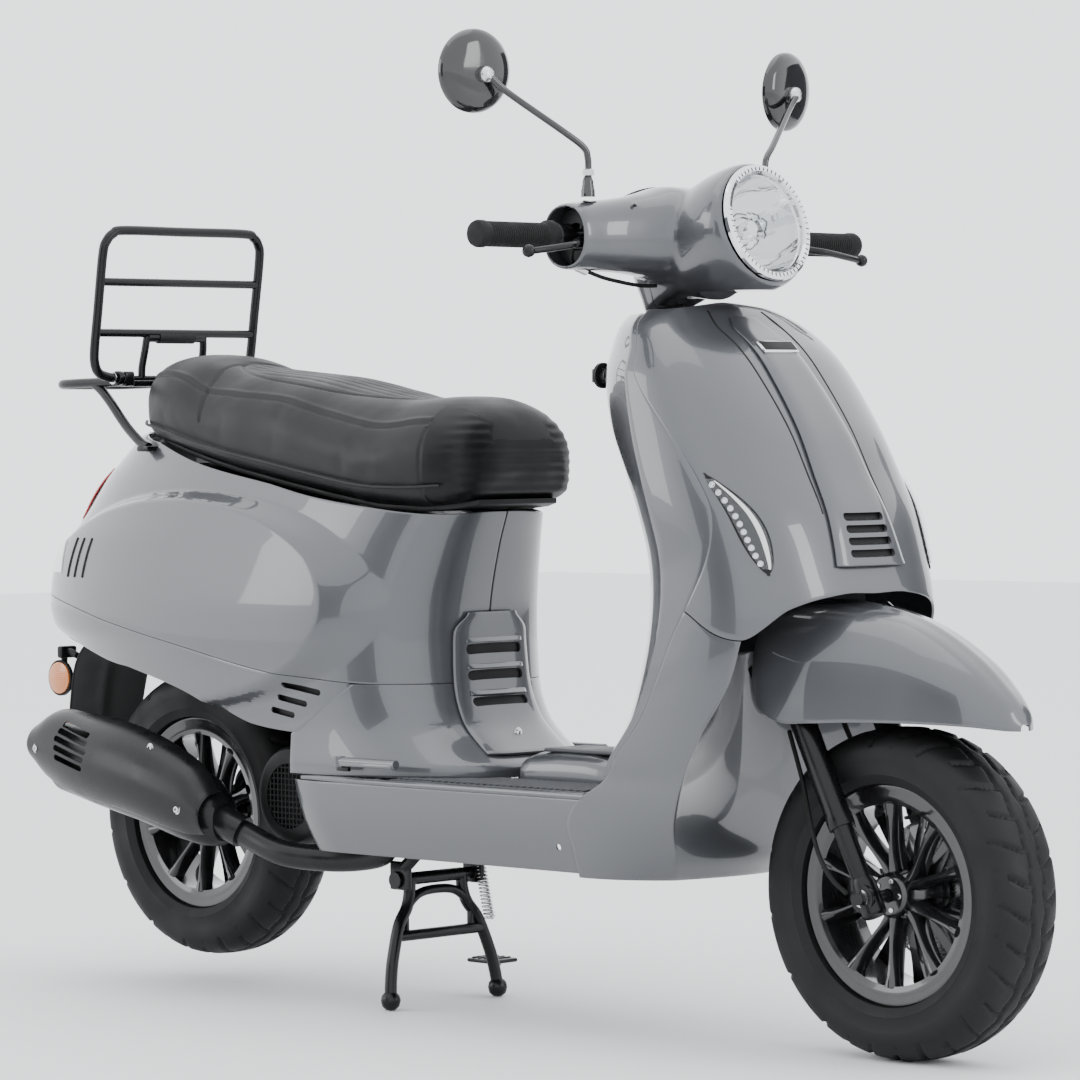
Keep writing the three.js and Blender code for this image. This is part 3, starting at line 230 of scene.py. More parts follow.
def make_looks():
    looks = {}

    def look(name, *values, **sockets):
        looks[name] = Look(name, *values, **sockets)
        return looks[name]

    look("paint", (0.074, 0.077, 0.084), 0.3, 0.45, Coat_Weight=1.0, Coat_Roughness=0.03).detail(
        CELLS, 2600, color=(0.1, 0.1, 0.7)).detail(
        NOISE, 9, roughness=(0.3, 0.38), Detail=4.0).detail(
        NOISE, 420, bump=(1.2e-05, 0.5), Detail=1.0)
    look("black_paint", (0.003, 0.003, 0.0033), 0.28, 0.0, Specular_IOR_Level=0.3).detail(
        NOISE, 30, color=(0.25,), roughness=(0.22, 0.36), Detail=5.0).detail(
        NOISE, 900, bump=(2e-05, 0.4), Detail=2.0)
    look("heat_black", (0.007, 0.007, 0.0075), 0.3, 0.0, slot="black_paint", Specular_IOR_Level=0.3).detail(
        NOISE, 22, color=(0.3,), roughness=(0.24, 0.36), Detail=6.0).detail(
        NOISE, 700, bump=(5e-05, 0.5), Detail=3.0)
    look("black_plastic", (0.006, 0.006, 0.0064), 0.5, Specular_IOR_Level=0.25).detail(
        CELLS, 900, bump=(6e-05, 0.5)).detail(
        NOISE, 14, color=(0.2,), roughness=(0.44, 0.6), Detail=4.0)
    look("gloss_black", (0.008, 0.008, 0.009), 0.08, slot="black_plastic", Coat_Weight=0.6).detail(
        NOISE, 40, color=(0.2,), roughness=(0.06, 0.12), Detail=3.0)
    look("tyre", (0.007, 0.007, 0.0074), 0.58, Specular_IOR_Level=0.25).detail(
        NOISE, 16, color=(0.22,), roughness=(0.5, 0.72), Detail=6.0).detail(
        NOISE, 1100, bump=(8e-05, 0.5), Detail=3.0)
    look("grip_rubber", (0.006, 0.006, 0.006), 0.66, Specular_IOR_Level=0.25).detail(
        CELLS, 1400, bump=(0.0001, 0.7)).detail(
        NOISE, 60, color=(0.2,), roughness=(0.6, 0.78), Detail=4.0)
    look("vinyl", (0.007, 0.0073, 0.008), 0.46, Specular_IOR_Level=0.28).detail(
        CELLS, 620, bump=(0.00016, 0.55), feature="DISTANCE_TO_EDGE").detail(
        NOISE, 1500, bump=(5e-05, 0.4), Detail=2.0).detail(
        NOISE, 12, color=(0.14,), roughness=(0.4, 0.54), Detail=5.0)
    look("vinyl_ribbed", (0.003, 0.003, 0.0034), 0.4, slot="vinyl", Specular_IOR_Level=0.22).detail(
        CELLS, 700, bump=(0.00012, 0.5), feature="DISTANCE_TO_EDGE").detail(
        NOISE, 16, color=(0.15,), roughness=(0.34, 0.48), Detail=5.0)
    look("alloy", (0.42, 0.43, 0.44), 0.42, 0.9).detail(
        NOISE, 24, color=(0.16,), roughness=(0.36, 0.54), Detail=6.0).detail(
        NOISE, 900, bump=(0.00012, 0.6), Detail=4.0)
    look("engine_alloy", (0.018, 0.0182, 0.019), 0.45, 0.5, slot="alloy").detail(
        NOISE, 24, color=(0.3,), roughness=(0.38, 0.56), Detail=6.0).detail(
        NOISE, 900, bump=(0.00012, 0.6), Detail=4.0)
    look("steel", (0.62, 0.62, 0.63), 0.24, 1.0).stretch(1, 1, 14).detail(
        NOISE, 160, color=(0.08,), roughness=(0.18, 0.32), bump=(2e-05, 0.4), Detail=4.0)
    look("engine_steel", (0.09, 0.09, 0.095), 0.3, 0.9, slot="steel").detail(
        NOISE, 90, color=(0.25,), roughness=(0.24, 0.4), Detail=4.0).detail(
        NOISE, 900, bump=(3e-05, 0.4), Detail=3.0)
    look("chrome", (0.86, 0.87, 0.88), 0.05, 1.0, slot="steel").detail(
        CELLS, 46, bump=(0.0016, 0.5), feature="F1").detail(
        NOISE, 30, roughness=(0.03, 0.09))
    look("mirror_glass", (0.8, 0.82, 0.84), 0.02, 1.0, slot="steel").detail(
        NOISE, 20, roughness=(0.01, 0.04), Detail=3.0)
    look("clear_lens", (0.3, 0.31, 0.32), 0.03, Alpha=0.1).detail(
        NOISE, 40, bump=(0.00015, 0.3), Detail=2.0).detail(
        NOISE, 90, roughness=(0.01, 0.05), Detail=2.0)
    for name, color in (("red_lens", (0.42, 0.012, 0.012)), ("amber", (0.55, 0.16, 0.02))):
        look(name, color, 0.12, slot="red_lens", Coat_Weight=1.0).detail(
            CELLS, 330, color=(0.35, 0.1, 0.6), bump=(0.0008, 0.6), distance="CHEBYCHEV", Randomness=0.0)
    look("lamp_white", (0.86, 0.87, 0.86), 0.22, slot="clear_lens", Coat_Weight=0.8).detail(
        CELLS, 420, bump=(0.0004, 0.5), distance="CHEBYCHEV", Randomness=0.0).detail(
        NOISE, 60, color=(0.06,), Detail=2.0)
    look("gloss_alloy", (0.01, 0.01, 0.011), 0.16, 0.2, slot="black_alloy", Coat_Weight=0.7).detail(
        NOISE, 40, color=(0.25,), roughness=(0.12, 0.24), Detail=4.0).detail(
        NOISE, 600, bump=(3e-05, 0.4), Detail=2.0)
    look("floor_rib", (0.055, 0.057, 0.062), 0.6, slot="paint").detail(
        NOISE, 26, color=(0.2,), roughness=(0.5, 0.7), Detail=5.0).detail(
        CELLS, 900, bump=(0.0001, 0.6))
    return looks


LOOKS = make_looks()


def finish(piece, body, look, *nodes):
    """The piece gets its material, rides on a body and stands for the CAD nodes."""
    piece.data.materials.clear()
    piece.data.materials.append(LOOKS[look].material)
    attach(piece, body)
    if nodes:
        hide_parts(*nodes)
    return piece


# ------------------------------------------------------------------ mesh helpers
def add_mesh(name, points, faces, crease=35.0):
    """Object from points in millimetres, with faces turned out and shaded smooth up to a crease."""
    mesh = bpy.data.meshes.new(name)
    mesh.from_pydata([tuple(c * MM for c in p) for p in points], [], [tuple(f) for f in faces])
    piece = bpy.data.objects.new(name, mesh)
    bpy.context.scene.collection.objects.link(piece)
    clean(piece, crease)
    return piece


def clean(piece, crease=35.0):
    shape = bmesh.new()
    shape.from_mesh(piece.data)
    bmesh.ops.remove_doubles(shape, verts=shape.verts, dist=1e-6)
    bmesh.ops.dissolve_degenerate(shape, edges=shape.edges, dist=1e-6)
    bmesh.ops.recalc_face_normals(shape, faces=shape.faces)
    shape.to_mesh(piece.data)
    shape.free()
    shade(piece, crease)


def shade(piece, crease=35.0):
    piece.data.polygons.foreach_set("use_smooth", [True] * len(piece.data.polygons))
    piece.data.set_sharp_from_angle(angle=math.radians(crease))


def bake(piece, crease=35.0):
    """The piece's modifiers become part of its mesh."""
    graph = bpy.context.evaluated_depsgraph_get()
    mesh = bpy.data.meshes.new_from_object(piece.evaluated_get(graph))
    piece.modifiers.clear()
    piece.data = mesh
    shade(piece, crease)
    return piece


def soften(piece, width, segments=2, angle=40.0, crease=35.0):
    """Rounds the piece's sharp edges by a width in millimetres."""
    bevel = piece.modifiers.new("edges", "BEVEL")
    bevel.width = width * MM
    bevel.segments = segments
    bevel.limit_method = "ANGLE"
    bevel.angle_limit = math.radians(angle)
    bevel.use_clamp_overlap = True
    return bake(piece, crease)


def cut(piece, *tools):
    for tool in tools:
        modifier = piece.modifiers.new("cut", "BOOLEAN")
        modifier.operation = "DIFFERENCE"
        modifier.solver = "EXACT"
        modifier.object = tool
    bake(piece)
    for tool in tools:
        bpy.data.objects.remove(tool)
    return piece


def moved(piece, matrix):
    piece.data.transform(matrix)
    return piece


def mirrored(piece, name):
    """A copy on the rider's other side."""
    twin = piece.copy()
    twin.data = piece.data.copy()
    twin.name = name
    twin.data.transform(Matrix.Scale(-1, 4, (1, 0, 0)))
    bpy.context.scene.collection.objects.link(twin)
    clean(twin)
    return twin


def joined(name, *pieces):
    """One object holding the meshes of several."""
    shape = bmesh.new()
    for piece in pieces:
        shape.from_mesh(piece.data)
    mesh = bpy.data.meshes.new(name)
    shape.to_mesh(mesh)
    shape.free()
    for piece in pieces:
        bpy.data.objects.remove(piece)
    result = bpy.data.objects.new(name, mesh)
    bpy.context.scene.collection.objects.link(result)
    shade(result)
    return result


def grid_faces(columns, rows, start=0, flip=False):
    wide = columns + 1
    faces = []
    for j in range(rows):
        for i in range(columns):
            a = start + j * wide + i
            face = (a, a + 1, a + 1 + wide, a + wide)
            faces.append(face[::-1] if flip else face)
    return faces


def panel(name, point, columns, rows, thickness=SKIN, inward=1, edge=0.7):
    """Panel of even thickness on a surface given by a function of u and v in 0..1. The thickness grows
    along the cross product of the u and v directions, or against it where inward is -1."""
    outer = np.array([[point(i / columns, j / rows) for i in range(columns + 1)]
                      for j in range(rows + 1)], float)
    normal = np.cross(np.gradient(outer, axis=1), np.gradient(outer, axis=0))
    normal /= np.maximum(np.linalg.norm(normal, axis=2, keepdims=True), 1e-9)
    inner = outer + inward * thickness * normal
    count = (columns + 1) * (rows + 1)
    points = np.concatenate([outer.reshape(-1, 3), inner.reshape(-1, 3)])
    faces = grid_faces(columns, rows) + grid_faces(columns, rows, count, True)
    wide = columns + 1
    rim = list(range(columns)) + [j * wide + columns for j in range(rows)]
    rim += [rows * wide + i for i in range(columns, 0, -1)] + [j * wide for j in range(rows, 0, -1)]
    for a, b in zip(rim, rim[1:] + rim[:1]):
        faces.append((b, a, a + count, b + count))
    piece = add_mesh(name, points.tolist(), faces)
    return soften(piece, edge, 2, 55.0) if edge else piece


def loft(name, rings, capped=True, crease=35.0):
    """Skin through closed rings of equal point counts."""
    count = len(rings[0])
    points = [p for ring_points in rings for p in ring_points]
    faces = []
    for k in range(len(rings) - 1):
        for i in range(count):
            a = k * count + i
            b = k * count + (i + 1) % count
            faces.append((a, b, b + count, a + count))
    if capped:
        faces.append(tuple(range(count))[::-1])
        faces.append(tuple((len(rings) - 1) * count + i for i in range(count)))
    return add_mesh(name, points, faces, crease)


def on_superellipse(angle, power):
    s, c = math.sin(angle), math.cos(angle)
    r = (abs(s) ** power + abs(c) ** power) ** (-1 / power)
    return r * s, r * c


def ring(place, half_a, half_b, power=2.0, count=48):
    points = []
    for i in range(count):
        a, b = on_superellipse(i / count * math.tau, power)
        points.append(place(half_a * a, half_b * b))
    return points


def smooth_path(points, per_span=8):
    """Catmull-Rom points through a given list."""
    rows = [np.array(p, float) for p in points]
    if len(rows) == 2:
        return rows
    ends = [2 * rows[0] - rows[1]] + rows + [2 * rows[-1] - rows[-2]]
    path = []
    for a, b, c, d in zip(ends, ends[1:], ends[2:], ends[3:]):
        for k in range(per_span):
            t = k / per_span
            path.append(0.5 * (2 * b + (c - a) * t + (2 * a - 5 * b + 4 * c - d) * t * t
                               + (3 * b - a - 3 * c + d) * t ** 3))
    path.append(rows[-1])
    return path


def tube(name, points, radius, sides=18, per_span=8, end=0.6):
    """Round bar along a smooth path, with its ends chamfered; radius may be one per path point."""
    path = smooth_path(points, per_span)
    radii = radius if isinstance(radius, list) else [radius] * len(path)
    if len(radii) != len(path):
        marks = np.linspace(0, len(radii) - 1, len(path))
        radii = list(np.interp(marks, range(len(radii)), radii))
    tangents = [path[min(i + 1, len(path) - 1)] - path[max(i - 1, 0)] for i in range(len(path))]
    tangents = [Vector(t).normalized() for t in tangents]
    across = tangents[0].orthogonal().normalized()
    rings = []
    last = len(path) - 1
    for i, (centre, tangent) in enumerate(zip(path, tangents)):
        across = (across - tangent * across.dot(tangent)).normalized()
        other = tangent.cross(across)

        def circle(size, shift):
            middle = Vector(centre) + tangent * shift
            return [tuple(middle + (across * math.cos(a) + other * math.sin(a)) * size)
                    for a in (k / sides * math.tau for k in range(sides))]
        if i == 0:
            rings += [circle(radii[0] - end, 0), circle(radii[0], end)]
        elif i == last:
            rings += [circle(radii[-1], -end), circle(radii[-1] - end, 0)]
        else:
            rings.append(circle(radii[i], 0))
    return loft(name, rings, crease=40.0)


def turned(name, profile, place=Matrix.Identity(4), segments=64, crease=30.0):
    """Turned solid about local Z: the profile lists radius and height; it starts and ends on the
    axis or closes on itself. place carries it from its own frame, in metres."""
    points = []
    faces = []
    on_axis = [abs(r) < 1e-6 for r, _ in profile]
    starts = []
    for (r, h), axial in zip(profile, on_axis):
        starts.append(len(points))
        if axial:
            points.append((0, 0, h))
        else:
            for k in range(segments):
                a = k / segments * math.tau
                points.append((r * math.cos(a), r * math.sin(a), h))
    pairs = list(zip(range(len(profile) - 1), range(1, len(profile))))
    if not on_axis[0]:
        pairs.append((len(profile) - 1, 0))
    for i, j in pairs:
        for k in range(segments):
            n = (k + 1) % segments
            if on_axis[i] and on_axis[j]:
                continue
            if on_axis[i]:
                faces.append((starts[i], starts[j] + k, starts[j] + n))
            elif on_axis[j]:
                faces.append((starts[i] + k, starts[j], starts[i] + n))
            else:
                faces.append((starts[i] + k, starts[j] + k, starts[j] + n, starts[i] + n))
    return moved(add_mesh(name, points, faces, crease), place)


def at(x, y, z, along="Z", tilt=0.0):
    """Matrix that puts local Z along an axis of the row frame at a point in millimetres."""
    turn = {"Z": Matrix.Identity(4), "X": Matrix.Rotation(math.pi / 2, 4, "Y"),
            "Y": Matrix.Rotation(-math.pi / 2, 4, "X"), "-Y": Matrix.Rotation(math.pi / 2, 4, "X"),
            "-X": Matrix.Rotation(-math.pi / 2, 4, "Y")}[along]
    return Matrix.Translation(Vector((x, y, z)) * MM) @ Matrix.Rotation(tilt, 4, "X") @ turn


def block(name, low, high, edge=1.0, place=Matrix.Identity(4), segments=2):
    (x0, y0, z0), (x1, y1, z1) = low, high
    points = [(x, y, z) for z in (z0, z1) for y in (y0, y1) for x in (x0, x1)]
    faces = [(0, 2, 3, 1), (4, 5, 7, 6), (0, 1, 5, 4), (2, 6, 7, 3), (0, 4, 6, 2), (1, 3, 7, 5)]
    piece = moved(add_mesh(name, points, faces), place)
    return soften(piece, edge, segments) if edge else piece


def slot_tool(centre, run, through, length, width, depth=40.0):
    """Cutter for a slot with round ends: it runs along one direction and cuts along another."""
    run = Vector(run).normalized()
    through = Vector(through).normalized()
    side = through.cross(run).normalized()
    run = side.cross(through).normalized()
    half = (length - width) / 2
    outline = []
    for start, shift in ((-math.pi / 2, half), (math.pi / 2, -half)):
        for k in range(9):
            a = start + k / 8 * math.pi
            outline.append(run * (shift + width / 2 * math.cos(a)) + side * (width / 2 * math.sin(a)))
    middle = Vector(centre)
    rings = [[tuple(middle + through * (s * depth / 2) + p) for p in outline] for s in (-1, 1)]
    return loft("tool", rings)


def bolt(name, place, radius=5.0, height=4.0, look="steel", body="chassis"):
    """Hexagon-socket screw head on a washer, its axis along the place's local Z."""
    washer = turned("washer", [(0, 0), (radius * 1.5, 0), (radius * 1.5, 0.9), (0, 0.9)], place, 28)
    head = turned("head", [(0, 0.9), (radius, 0.9), (radius, height), (radius - 0.7, height + 0.6),
                           (radius * 0.5, height + 0.6), (radius * 0.5, height - 1.6), (0, height - 1.6)],
                  place, 24)
    return finish(joined(name, washer, head), body, look)


def curve_value(table, key, column):
    """Smooth curve through the rows of a table: the value of one column at a key."""
    last = len(table) - 1
    i = 0
    while i < last - 1 and key > table[i + 1][0]:
        i += 1

    def slope(k):
        a, b = table[max(k - 1, 0)], table[min(k + 1, last)]
        return (b[column] - a[column]) / (b[0] - a[0])

    span = table[i + 1][0] - table[i][0]
    t = min(max((key - table[i][0]) / span, 0), 1)
    t2, t3 = t * t, t * t * t
    return ((2 * t3 - 3 * t2 + 1) * table[i][column] + (t3 - 2 * t2 + t) * span * slope(i)
            + (3 * t2 - 2 * t3) * table[i + 1][column] + (t3 - t2) * span * slope(i + 1))


def smooth_step(t):
    t = min(max(t, 0), 1)
    return t * t * (3 - 2 * t)


def blend_value(a, b, t):
    return a + (b - a) * t


# ------------------------------------------------------------------ body outlines, in millimetres
# Leg shield: height, half width, rear edge y, front centre y, crease depth, inner face y.
SHIELD = [
    [345, 190, -362, -672, 10, -285], [376, 196, -382, -672, 10, -298],
    [429, 198, -426, -672, 14, -318], [481, 199, -453, -672, 18, -330],
    [533, 198, -471, -672, 26, -338], [584, 197, -480, -670, 48, -340],
    [634, 196, -478, -657, 74, -335], [690, 198, -464, -637, 95, -318],
    [740, 196, -446, -610, 86, -295], [800, 190, -425, -577, 56, -262],
    [870, 180, -406, -525, 14, -245], [905, 165, -400, -492, 10, -252],
    [936, 145, -385, -450, 8, -266], [957, 104, -368, -424, 6, -280],
    [968, 60, -345, -402, 4, -290],
]
SHIELD_POWER = 3
SHIELD_TOP = 955
SHIELD_LIP = [[0, 589], [0.24, 589], [0.50, 572], [0.66, 534], [1, 570]]
LIP_CORNER = 0.66

# Lower front panel: height, flank half width, flank start y, edge x, edge y, centre y.
NOSE = [
    [217, 168, -300, 118, -425, -446], [249, 177.5, -300, 146, -452, -470],
    [300, 187.5, -300, 180, -482, -458], [361, 194, -375, 188, -509, -454],
    [434, 198, -440, 189, -551, -448], [515, 198, -492, 177, -594, -446],
    [556, 198, -506, 170, -606, -446],
]

# Rear body: height, half width, front centre y, rear centre y.
BODY = [
    [345, 188, -66, 760], [376, 186, -20, 780], [400, 185, 8, 800], [429, 185, 25, 820],
    [455, 186, 33, 840], [492, 187, 37, 868], [520, 187, 38, 915], [572, 184, 34, 926],
    [645, 171, 16, 905], [684, 160, 2, 868], [716, 149, -9, 842], [741, 140, -15, 820],
    [783, 122, -20, 772], [800, 112, -22, 752], [812, 70, -22, 716],
]
BODY_MIDDLE = 330
BODY_FRONT_POWER = 3
BODY_REAR_POWER = 2.2
# Along the body: y, underside of the seat, seam line, lower edge of the trim.
SIDE_LINES = [
    [-40, 700, 456, 385], [3, 693, 456, 385], [127, 705, 456, 385], [244, 720, 466, 386],
    [341, 738, 480, 398], [482, 763, 504, 439], [620, 793, 528, 466], [660, 799, 535, 470],
    [700, 806, 543, 476], [778, 812, 556, 492], [930, 812, 574, 520],
]
BULGE_OUTER = (500, 565, 410, 155)
BULGE_INNER = (526, 562, 352, 146)
BULGE_PROUD = 19

# Seat: y, half width, underside, top.
SEAT = [
    [-32, 86, 715, 794], [-22, 110, 708, 824], [10, 126, 703, 843], [60, 138, 699, 850],
    [140, 148, 703, 847], [230, 151, 717, 861], [330, 150, 734, 880], [430, 146, 752, 890],
    [500, 140, 766, 898], [560, 132, 779, 914], [620, 117, 791, 918], [660, 97, 800, 908],
    [688, 60, 812, 878],
]

# Front fender: y, half width, ridge, lower edge.
FENDER_POWER = 2.8
FENDER = [
    [-911, 9, 432, 423], [-902, 26, 452, 424], [-870, 46, 484, 428], [-839, 58, 509, 430],
    [-790, 69, 538, 431], [-742, 78, 558, 431], [-690, 90, 571, 430], [-640, 102, 578, 428],
    [-600, 108, 579, 428], [-566, 110, 577, 444], [-550, 105, 574, 468],
]

RAKE = math.radians(26.5)
STEER_FOOT_Y = -795.6
STEER = Matrix.Translation((0, STEER_FOOT_Y * MM, 0)) @ Matrix.Rotation(-RAKE, 4, "X")
FORK_OFFSET = -27
LEG_X = 78
AXLE_ALONG = 222.3
FRONT_AXLE = (0, -720.6, 211)
REAR_AXLE = (0, 616.4, 246)
HEADLIGHT = (0, -484, 1065)
HEADLIGHT_RADIUS = 77
HEADLIGHT_PLACE = at(*HEADLIGHT, along="Y", tilt=-math.radians(14))
BAR_Y, BAR_Z, BAR_RADIUS = -318, 1050, 11
MIRROR = (298, -262, 1262)
STAND_PIVOT = (0, 152, 178)
ENGINE_PIVOT = (0, 205, 302)


def row(table, key):
    return [curve_value(table, key, column) for column in range(1, len(table[0]))]


def stem_y(height):
    return STEER_FOOT_Y + height * math.tan(RAKE)


def shield_point(height, share, side=1):
    """Share 0 is the shield's front centre and 1 the crease at its edge."""
    half, edge_y, front_y, crease, _ = row(SHIELD, height)
    depth = edge_y - front_y
    forward = crease / depth
    angle = math.atan2((1 - forward ** SHIELD_POWER) ** (1 / SHIELD_POWER), forward)
    a, b = on_superellipse(angle * share, SHIELD_POWER)
    return np.array([side * half * a, edge_y - depth * b, height])


def body_point(height, angle, side=-1):
    """Angle 0 is the body's front centre and pi its rear centre."""
    half, front_y, rear_y = row(BODY, height)
    front = angle <= math.pi / 2
    a, b = on_superellipse(angle, BODY_FRONT_POWER if front else BODY_REAR_POWER)
    reach = abs(BODY_MIDDLE - (front_y if front else rear_y))
    return np.array([side * half * a, BODY_MIDDLE - reach * b, height])


def body_angle(height, y):
    _, front_y, rear_y = row(BODY, height)
    front = y < BODY_MIDDLE
    power = BODY_FRONT_POWER if front else BODY_REAR_POWER
    reach = abs(BODY_MIDDLE - (front_y if front else rear_y))
    forward = min(abs(BODY_MIDDLE - y) / reach, 1)
    angle = math.atan2((1 - forward ** power) ** (1 / power), forward)
    return angle if front else math.pi - angle


def ellipse_share(y, height, ellipse):
    middle_y, middle_z, length, tall = ellipse
    return math.hypot((y - middle_y) / length, (height - middle_z) / tall)


def bulge(y, height):
    """Outward swell of the side panel: a band rises from an outer oval to an inner one."""
    outer = ellipse_share(y, height, BULGE_OUTER)
    inner = ellipse_share(y, height, BULGE_INNER)
    if outer >= 1:
        return 0.0
    if inner <= 1:
        return BULGE_PROUD
    ramp = (1 - outer) / (1 - outer + inner - 1)
    edge = 0.16
    soft = ramp + 0.5 * edge * (math.sin(math.tau * ramp) / math.tau) * -2
    return BULGE_PROUD * min(max(soft, 0), 1)


def side_surface(height, angle, proud=0.0):
    p = body_point(height, angle)
    p[0] -= bulge(p[1], height) + proud
    return p


# ------------------------------------------------------------------ front shield and lower body
def make_leg_shield():
    def surface(u, v):
        side = -1 if u < 0.5 else 1
        share = abs(2 * u - 1)
        low = curve_value(SHIELD_LIP, share, 1) + 0.4
        top = SHIELD_TOP + 10 * (1 - smooth_step(share / 0.8))
        height = low + (top - low) * (1 - (1 - v) ** 1.25)
        return shield_point(height, share, side)

    finish(panel("leg_shield_skin", surface, 140, 70, SKIN, -1, 0.15), "chassis", "paint", "leg_shield")


def make_inner_shield():
    strip = 0.16

    def surface(u, v):
        height = 354 + (950 - 354) * (1 - (1 - v) ** 1.3)
        side = -1 if u < 0.5 else 1
        share = abs(2 * u - 1)
        half, edge_y, front_y, crease, inner_y = row(SHIELD, height)
        depth = edge_y - front_y
        if share > 1 - strip:
            forward = (crease + 0.3) * (share - 1 + strip) / strip / depth
            out = (1 - forward ** SHIELD_POWER) ** (1 / SHIELD_POWER)
            return np.array([side * half * out, edge_y - depth * forward, height])
        across = share / (1 - strip)
        return np.array([side * half * across, inner_y + (edge_y - inner_y) * across ** 2.2, height])

    finish(panel("inner_shield_skin", surface, 100, 60, SKIN, 1, 0.15), "chassis", "paint",
           "inner_leg_shield")

    def door_surface(u, v):
        x, height = -72 + 144 * u, 655 + 135 * v
        half, edge_y, _, _, inner_y = row(SHIELD, height)
        return np.array([x, inner_y + (edge_y - inner_y) * (abs(x) / half) ** 2.2 + 2.2, height])

    finish(panel("glove_door", door_surface, 24, 24, 3, 1, 1.0), "chassis", "paint")
    catch = turned("glove_lock", [(0, 0), (9, 0), (9, 4.5), (7, 5.5), (0, 5.5)], at(0, -275, 772, "Y"), 32)
    finish(catch, "chassis", "steel")
    hook = tube("bag_hook", [(0, -240, 838), (0, -228, 842), (0, -214, 838), (0, -206, 826),
                             (0, -212, 814), (0, -224, 812)], 4.5)
    plate = block("hook_plate", (-12, -246, 826), (12, -236, 852), 3)
    finish(joined("bag_hook", hook, plate), "chassis", "black_plastic")


COVER_LOW, COVER_HIGH = 625, 946
SEAM_LOW, SEAM_HIGH = 690, 952


def cover_half_width(height):
    share = (height - COVER_LOW) / (COVER_HIGH - COVER_LOW)
    top = 1 - smooth_step((height - 930) / 16) * 0.3
    return (66 - 30 * share ** 0.8) * top


def cover_surface(x, height, proud):
    half, edge_y, front_y, _, _ = row(SHIELD, height)
    across = min(abs(x) / half, 1)
    y = edge_y - (edge_y - front_y) * (1 - across ** SHIELD_POWER) ** (1 / SHIELD_POWER)
    return np.array([x, y - proud, height])


def make_centre_cover():
    def surface(u, v):
        height = COVER_LOW + (COVER_HIGH - COVER_LOW) * v
        half = cover_half_width(height)
        x = half * (2 * u - 1)
        crown = 1 - abs(2 * u - 1) ** 6
        return cover_surface(x, height, 4 + 6.5 * crown)

    cover = panel("centre_cover_skin", surface, 48, 90, 4.5, -1, 1.2)
    slots = []
    for i in range(4):
        height = 640 + 15.5 * i
        y = cover_surface(0, height, 10)[1]
        slots.append(slot_tool((0, y, height), (1, 0, 0), (0, 1, 0.3), 84 - 3 * i, 8.5, 26))
    cut(cover, *slots)
    finish(cover, "chassis", "paint", "centre_cover")
    # dark sheet behind the cover's slots: painted shade seen through them
    slot_shade = panel("cover_slot_shade", lambda u, v: cover_surface(96 * (u - 0.5), 632 + 66 * v, 2.2),
                    8, 8, 1.6, 1, 0)
    finish(slot_shade, "chassis", "black_plastic")
    badge_y = cover_surface(0, 905, 12)[1]
    tilt = math.radians(-47)
    place = Matrix.Translation(Vector((0, badge_y, 905)) * MM) @ Matrix.Rotation(tilt, 4, "X")
    base = block("badge_base", (-32, -2.5, -9), (32, 3, 9), 2, place)
    finish(base, "chassis", "black_plastic")
    rim = block("badge_rim", (-33.5, -2.0, -10.5), (33.5, 2, 10.5), 2, place)
    inside = block("badge_window", (-31, -6, -8), (31, 6, 8), 0, place)
    finish(cut(rim, inside), "chassis", "mirror_glass")
    # dark beads beside the cover: painted shade of the grooves that run up the shield
    for side in (-1, 1):
        points = []
        for k in range(13):
            height = SEAM_LOW + (SEAM_HIGH - SEAM_LOW) * k / 12
            x = side * (cover_half_width(height) + 4 + 22 * (k / 12) ** 1.2)
            points.append(cover_surface(x, height, -1.4))
        finish(tube("cover_groove_shade", points, 2.0, 8, 4, 0.5), "chassis", "black_plastic")


def signal_surface(u, v, proud):
    height = 618 + (742 - 618) * v
    bow = max(math.sin(math.pi * v), 0) ** 0.7
    share = 0.925 - 0.285 * (1 - v) + (0.5 - u) * (0.012 + 0.15 * bow)
    p = shield_point(height, share, -1)
    q = shield_point(height, share - 0.02, -1)
    run = q - p
    out = np.array([-abs(run[1]), -abs(run[0]), 0.0])
    out /= np.linalg.norm(out)
    return p + out * proud


def make_front_signals():
    housing = panel("signal_housing", lambda u, v: signal_surface(-0.06 + 1.12 * u, -0.02 + 1.04 * v, 2.0),
                    20, 48, 5, -1, 1.0)
    strip = panel("signal_drl", lambda u, v: signal_surface(0.68 + 0.20 * u, 0.04 + 0.90 * v, 4.4),
                  6, 48, 2, -1, 0.5)
    lens = panel("signal_lens", lambda u, v: signal_surface(0.04 + 0.92 * u, 0.04 + 0.92 * v,
                                                            6.2 + 2.0 * math.sin(math.pi * v)),
                 16, 40, 1.0, -1, 0.3)
    diodes = []
    for k in range(11):
        v = 0.10 + 0.80 * k / 10
        centre = Vector(signal_surface(0.22, v, 2.0))
        ahead = Vector(signal_surface(0.22, v, 8)) - Vector(signal_surface(0.22, v, 0))
        turn = ahead.to_track_quat("Z", "Y").to_matrix().to_4x4()
        place = Matrix.Translation(centre * MM) @ turn
        cup = turned("diode", [(0, 0), (3.8, 0), (3.8, 2.6), (3.2, 2.6), (2.6, 1.2), (1.6, 1.0), (1.4, 2.2),
                               (0, 2.6)], place, 20)
        diodes.append(cup)
    chain = joined("signal_diodes", *diodes)
    for name, piece, look in (("housing", housing, "black_plastic"), ("drl", strip, "lamp_white"),
                              ("lens", lens, "clear_lens"), ("diodes", chain, "mirror_glass")):
        twin = mirrored(piece, f"signal_{name}_left")
        piece.name = f"signal_{name}_right"
        right_node = ["front_signal_right"] if name == "lens" else []
        left_node = ["front_signal_left"] if name == "lens" else []
        finish(piece, "chassis", look, *right_node)
        finish(twin, "chassis", look, *left_node)


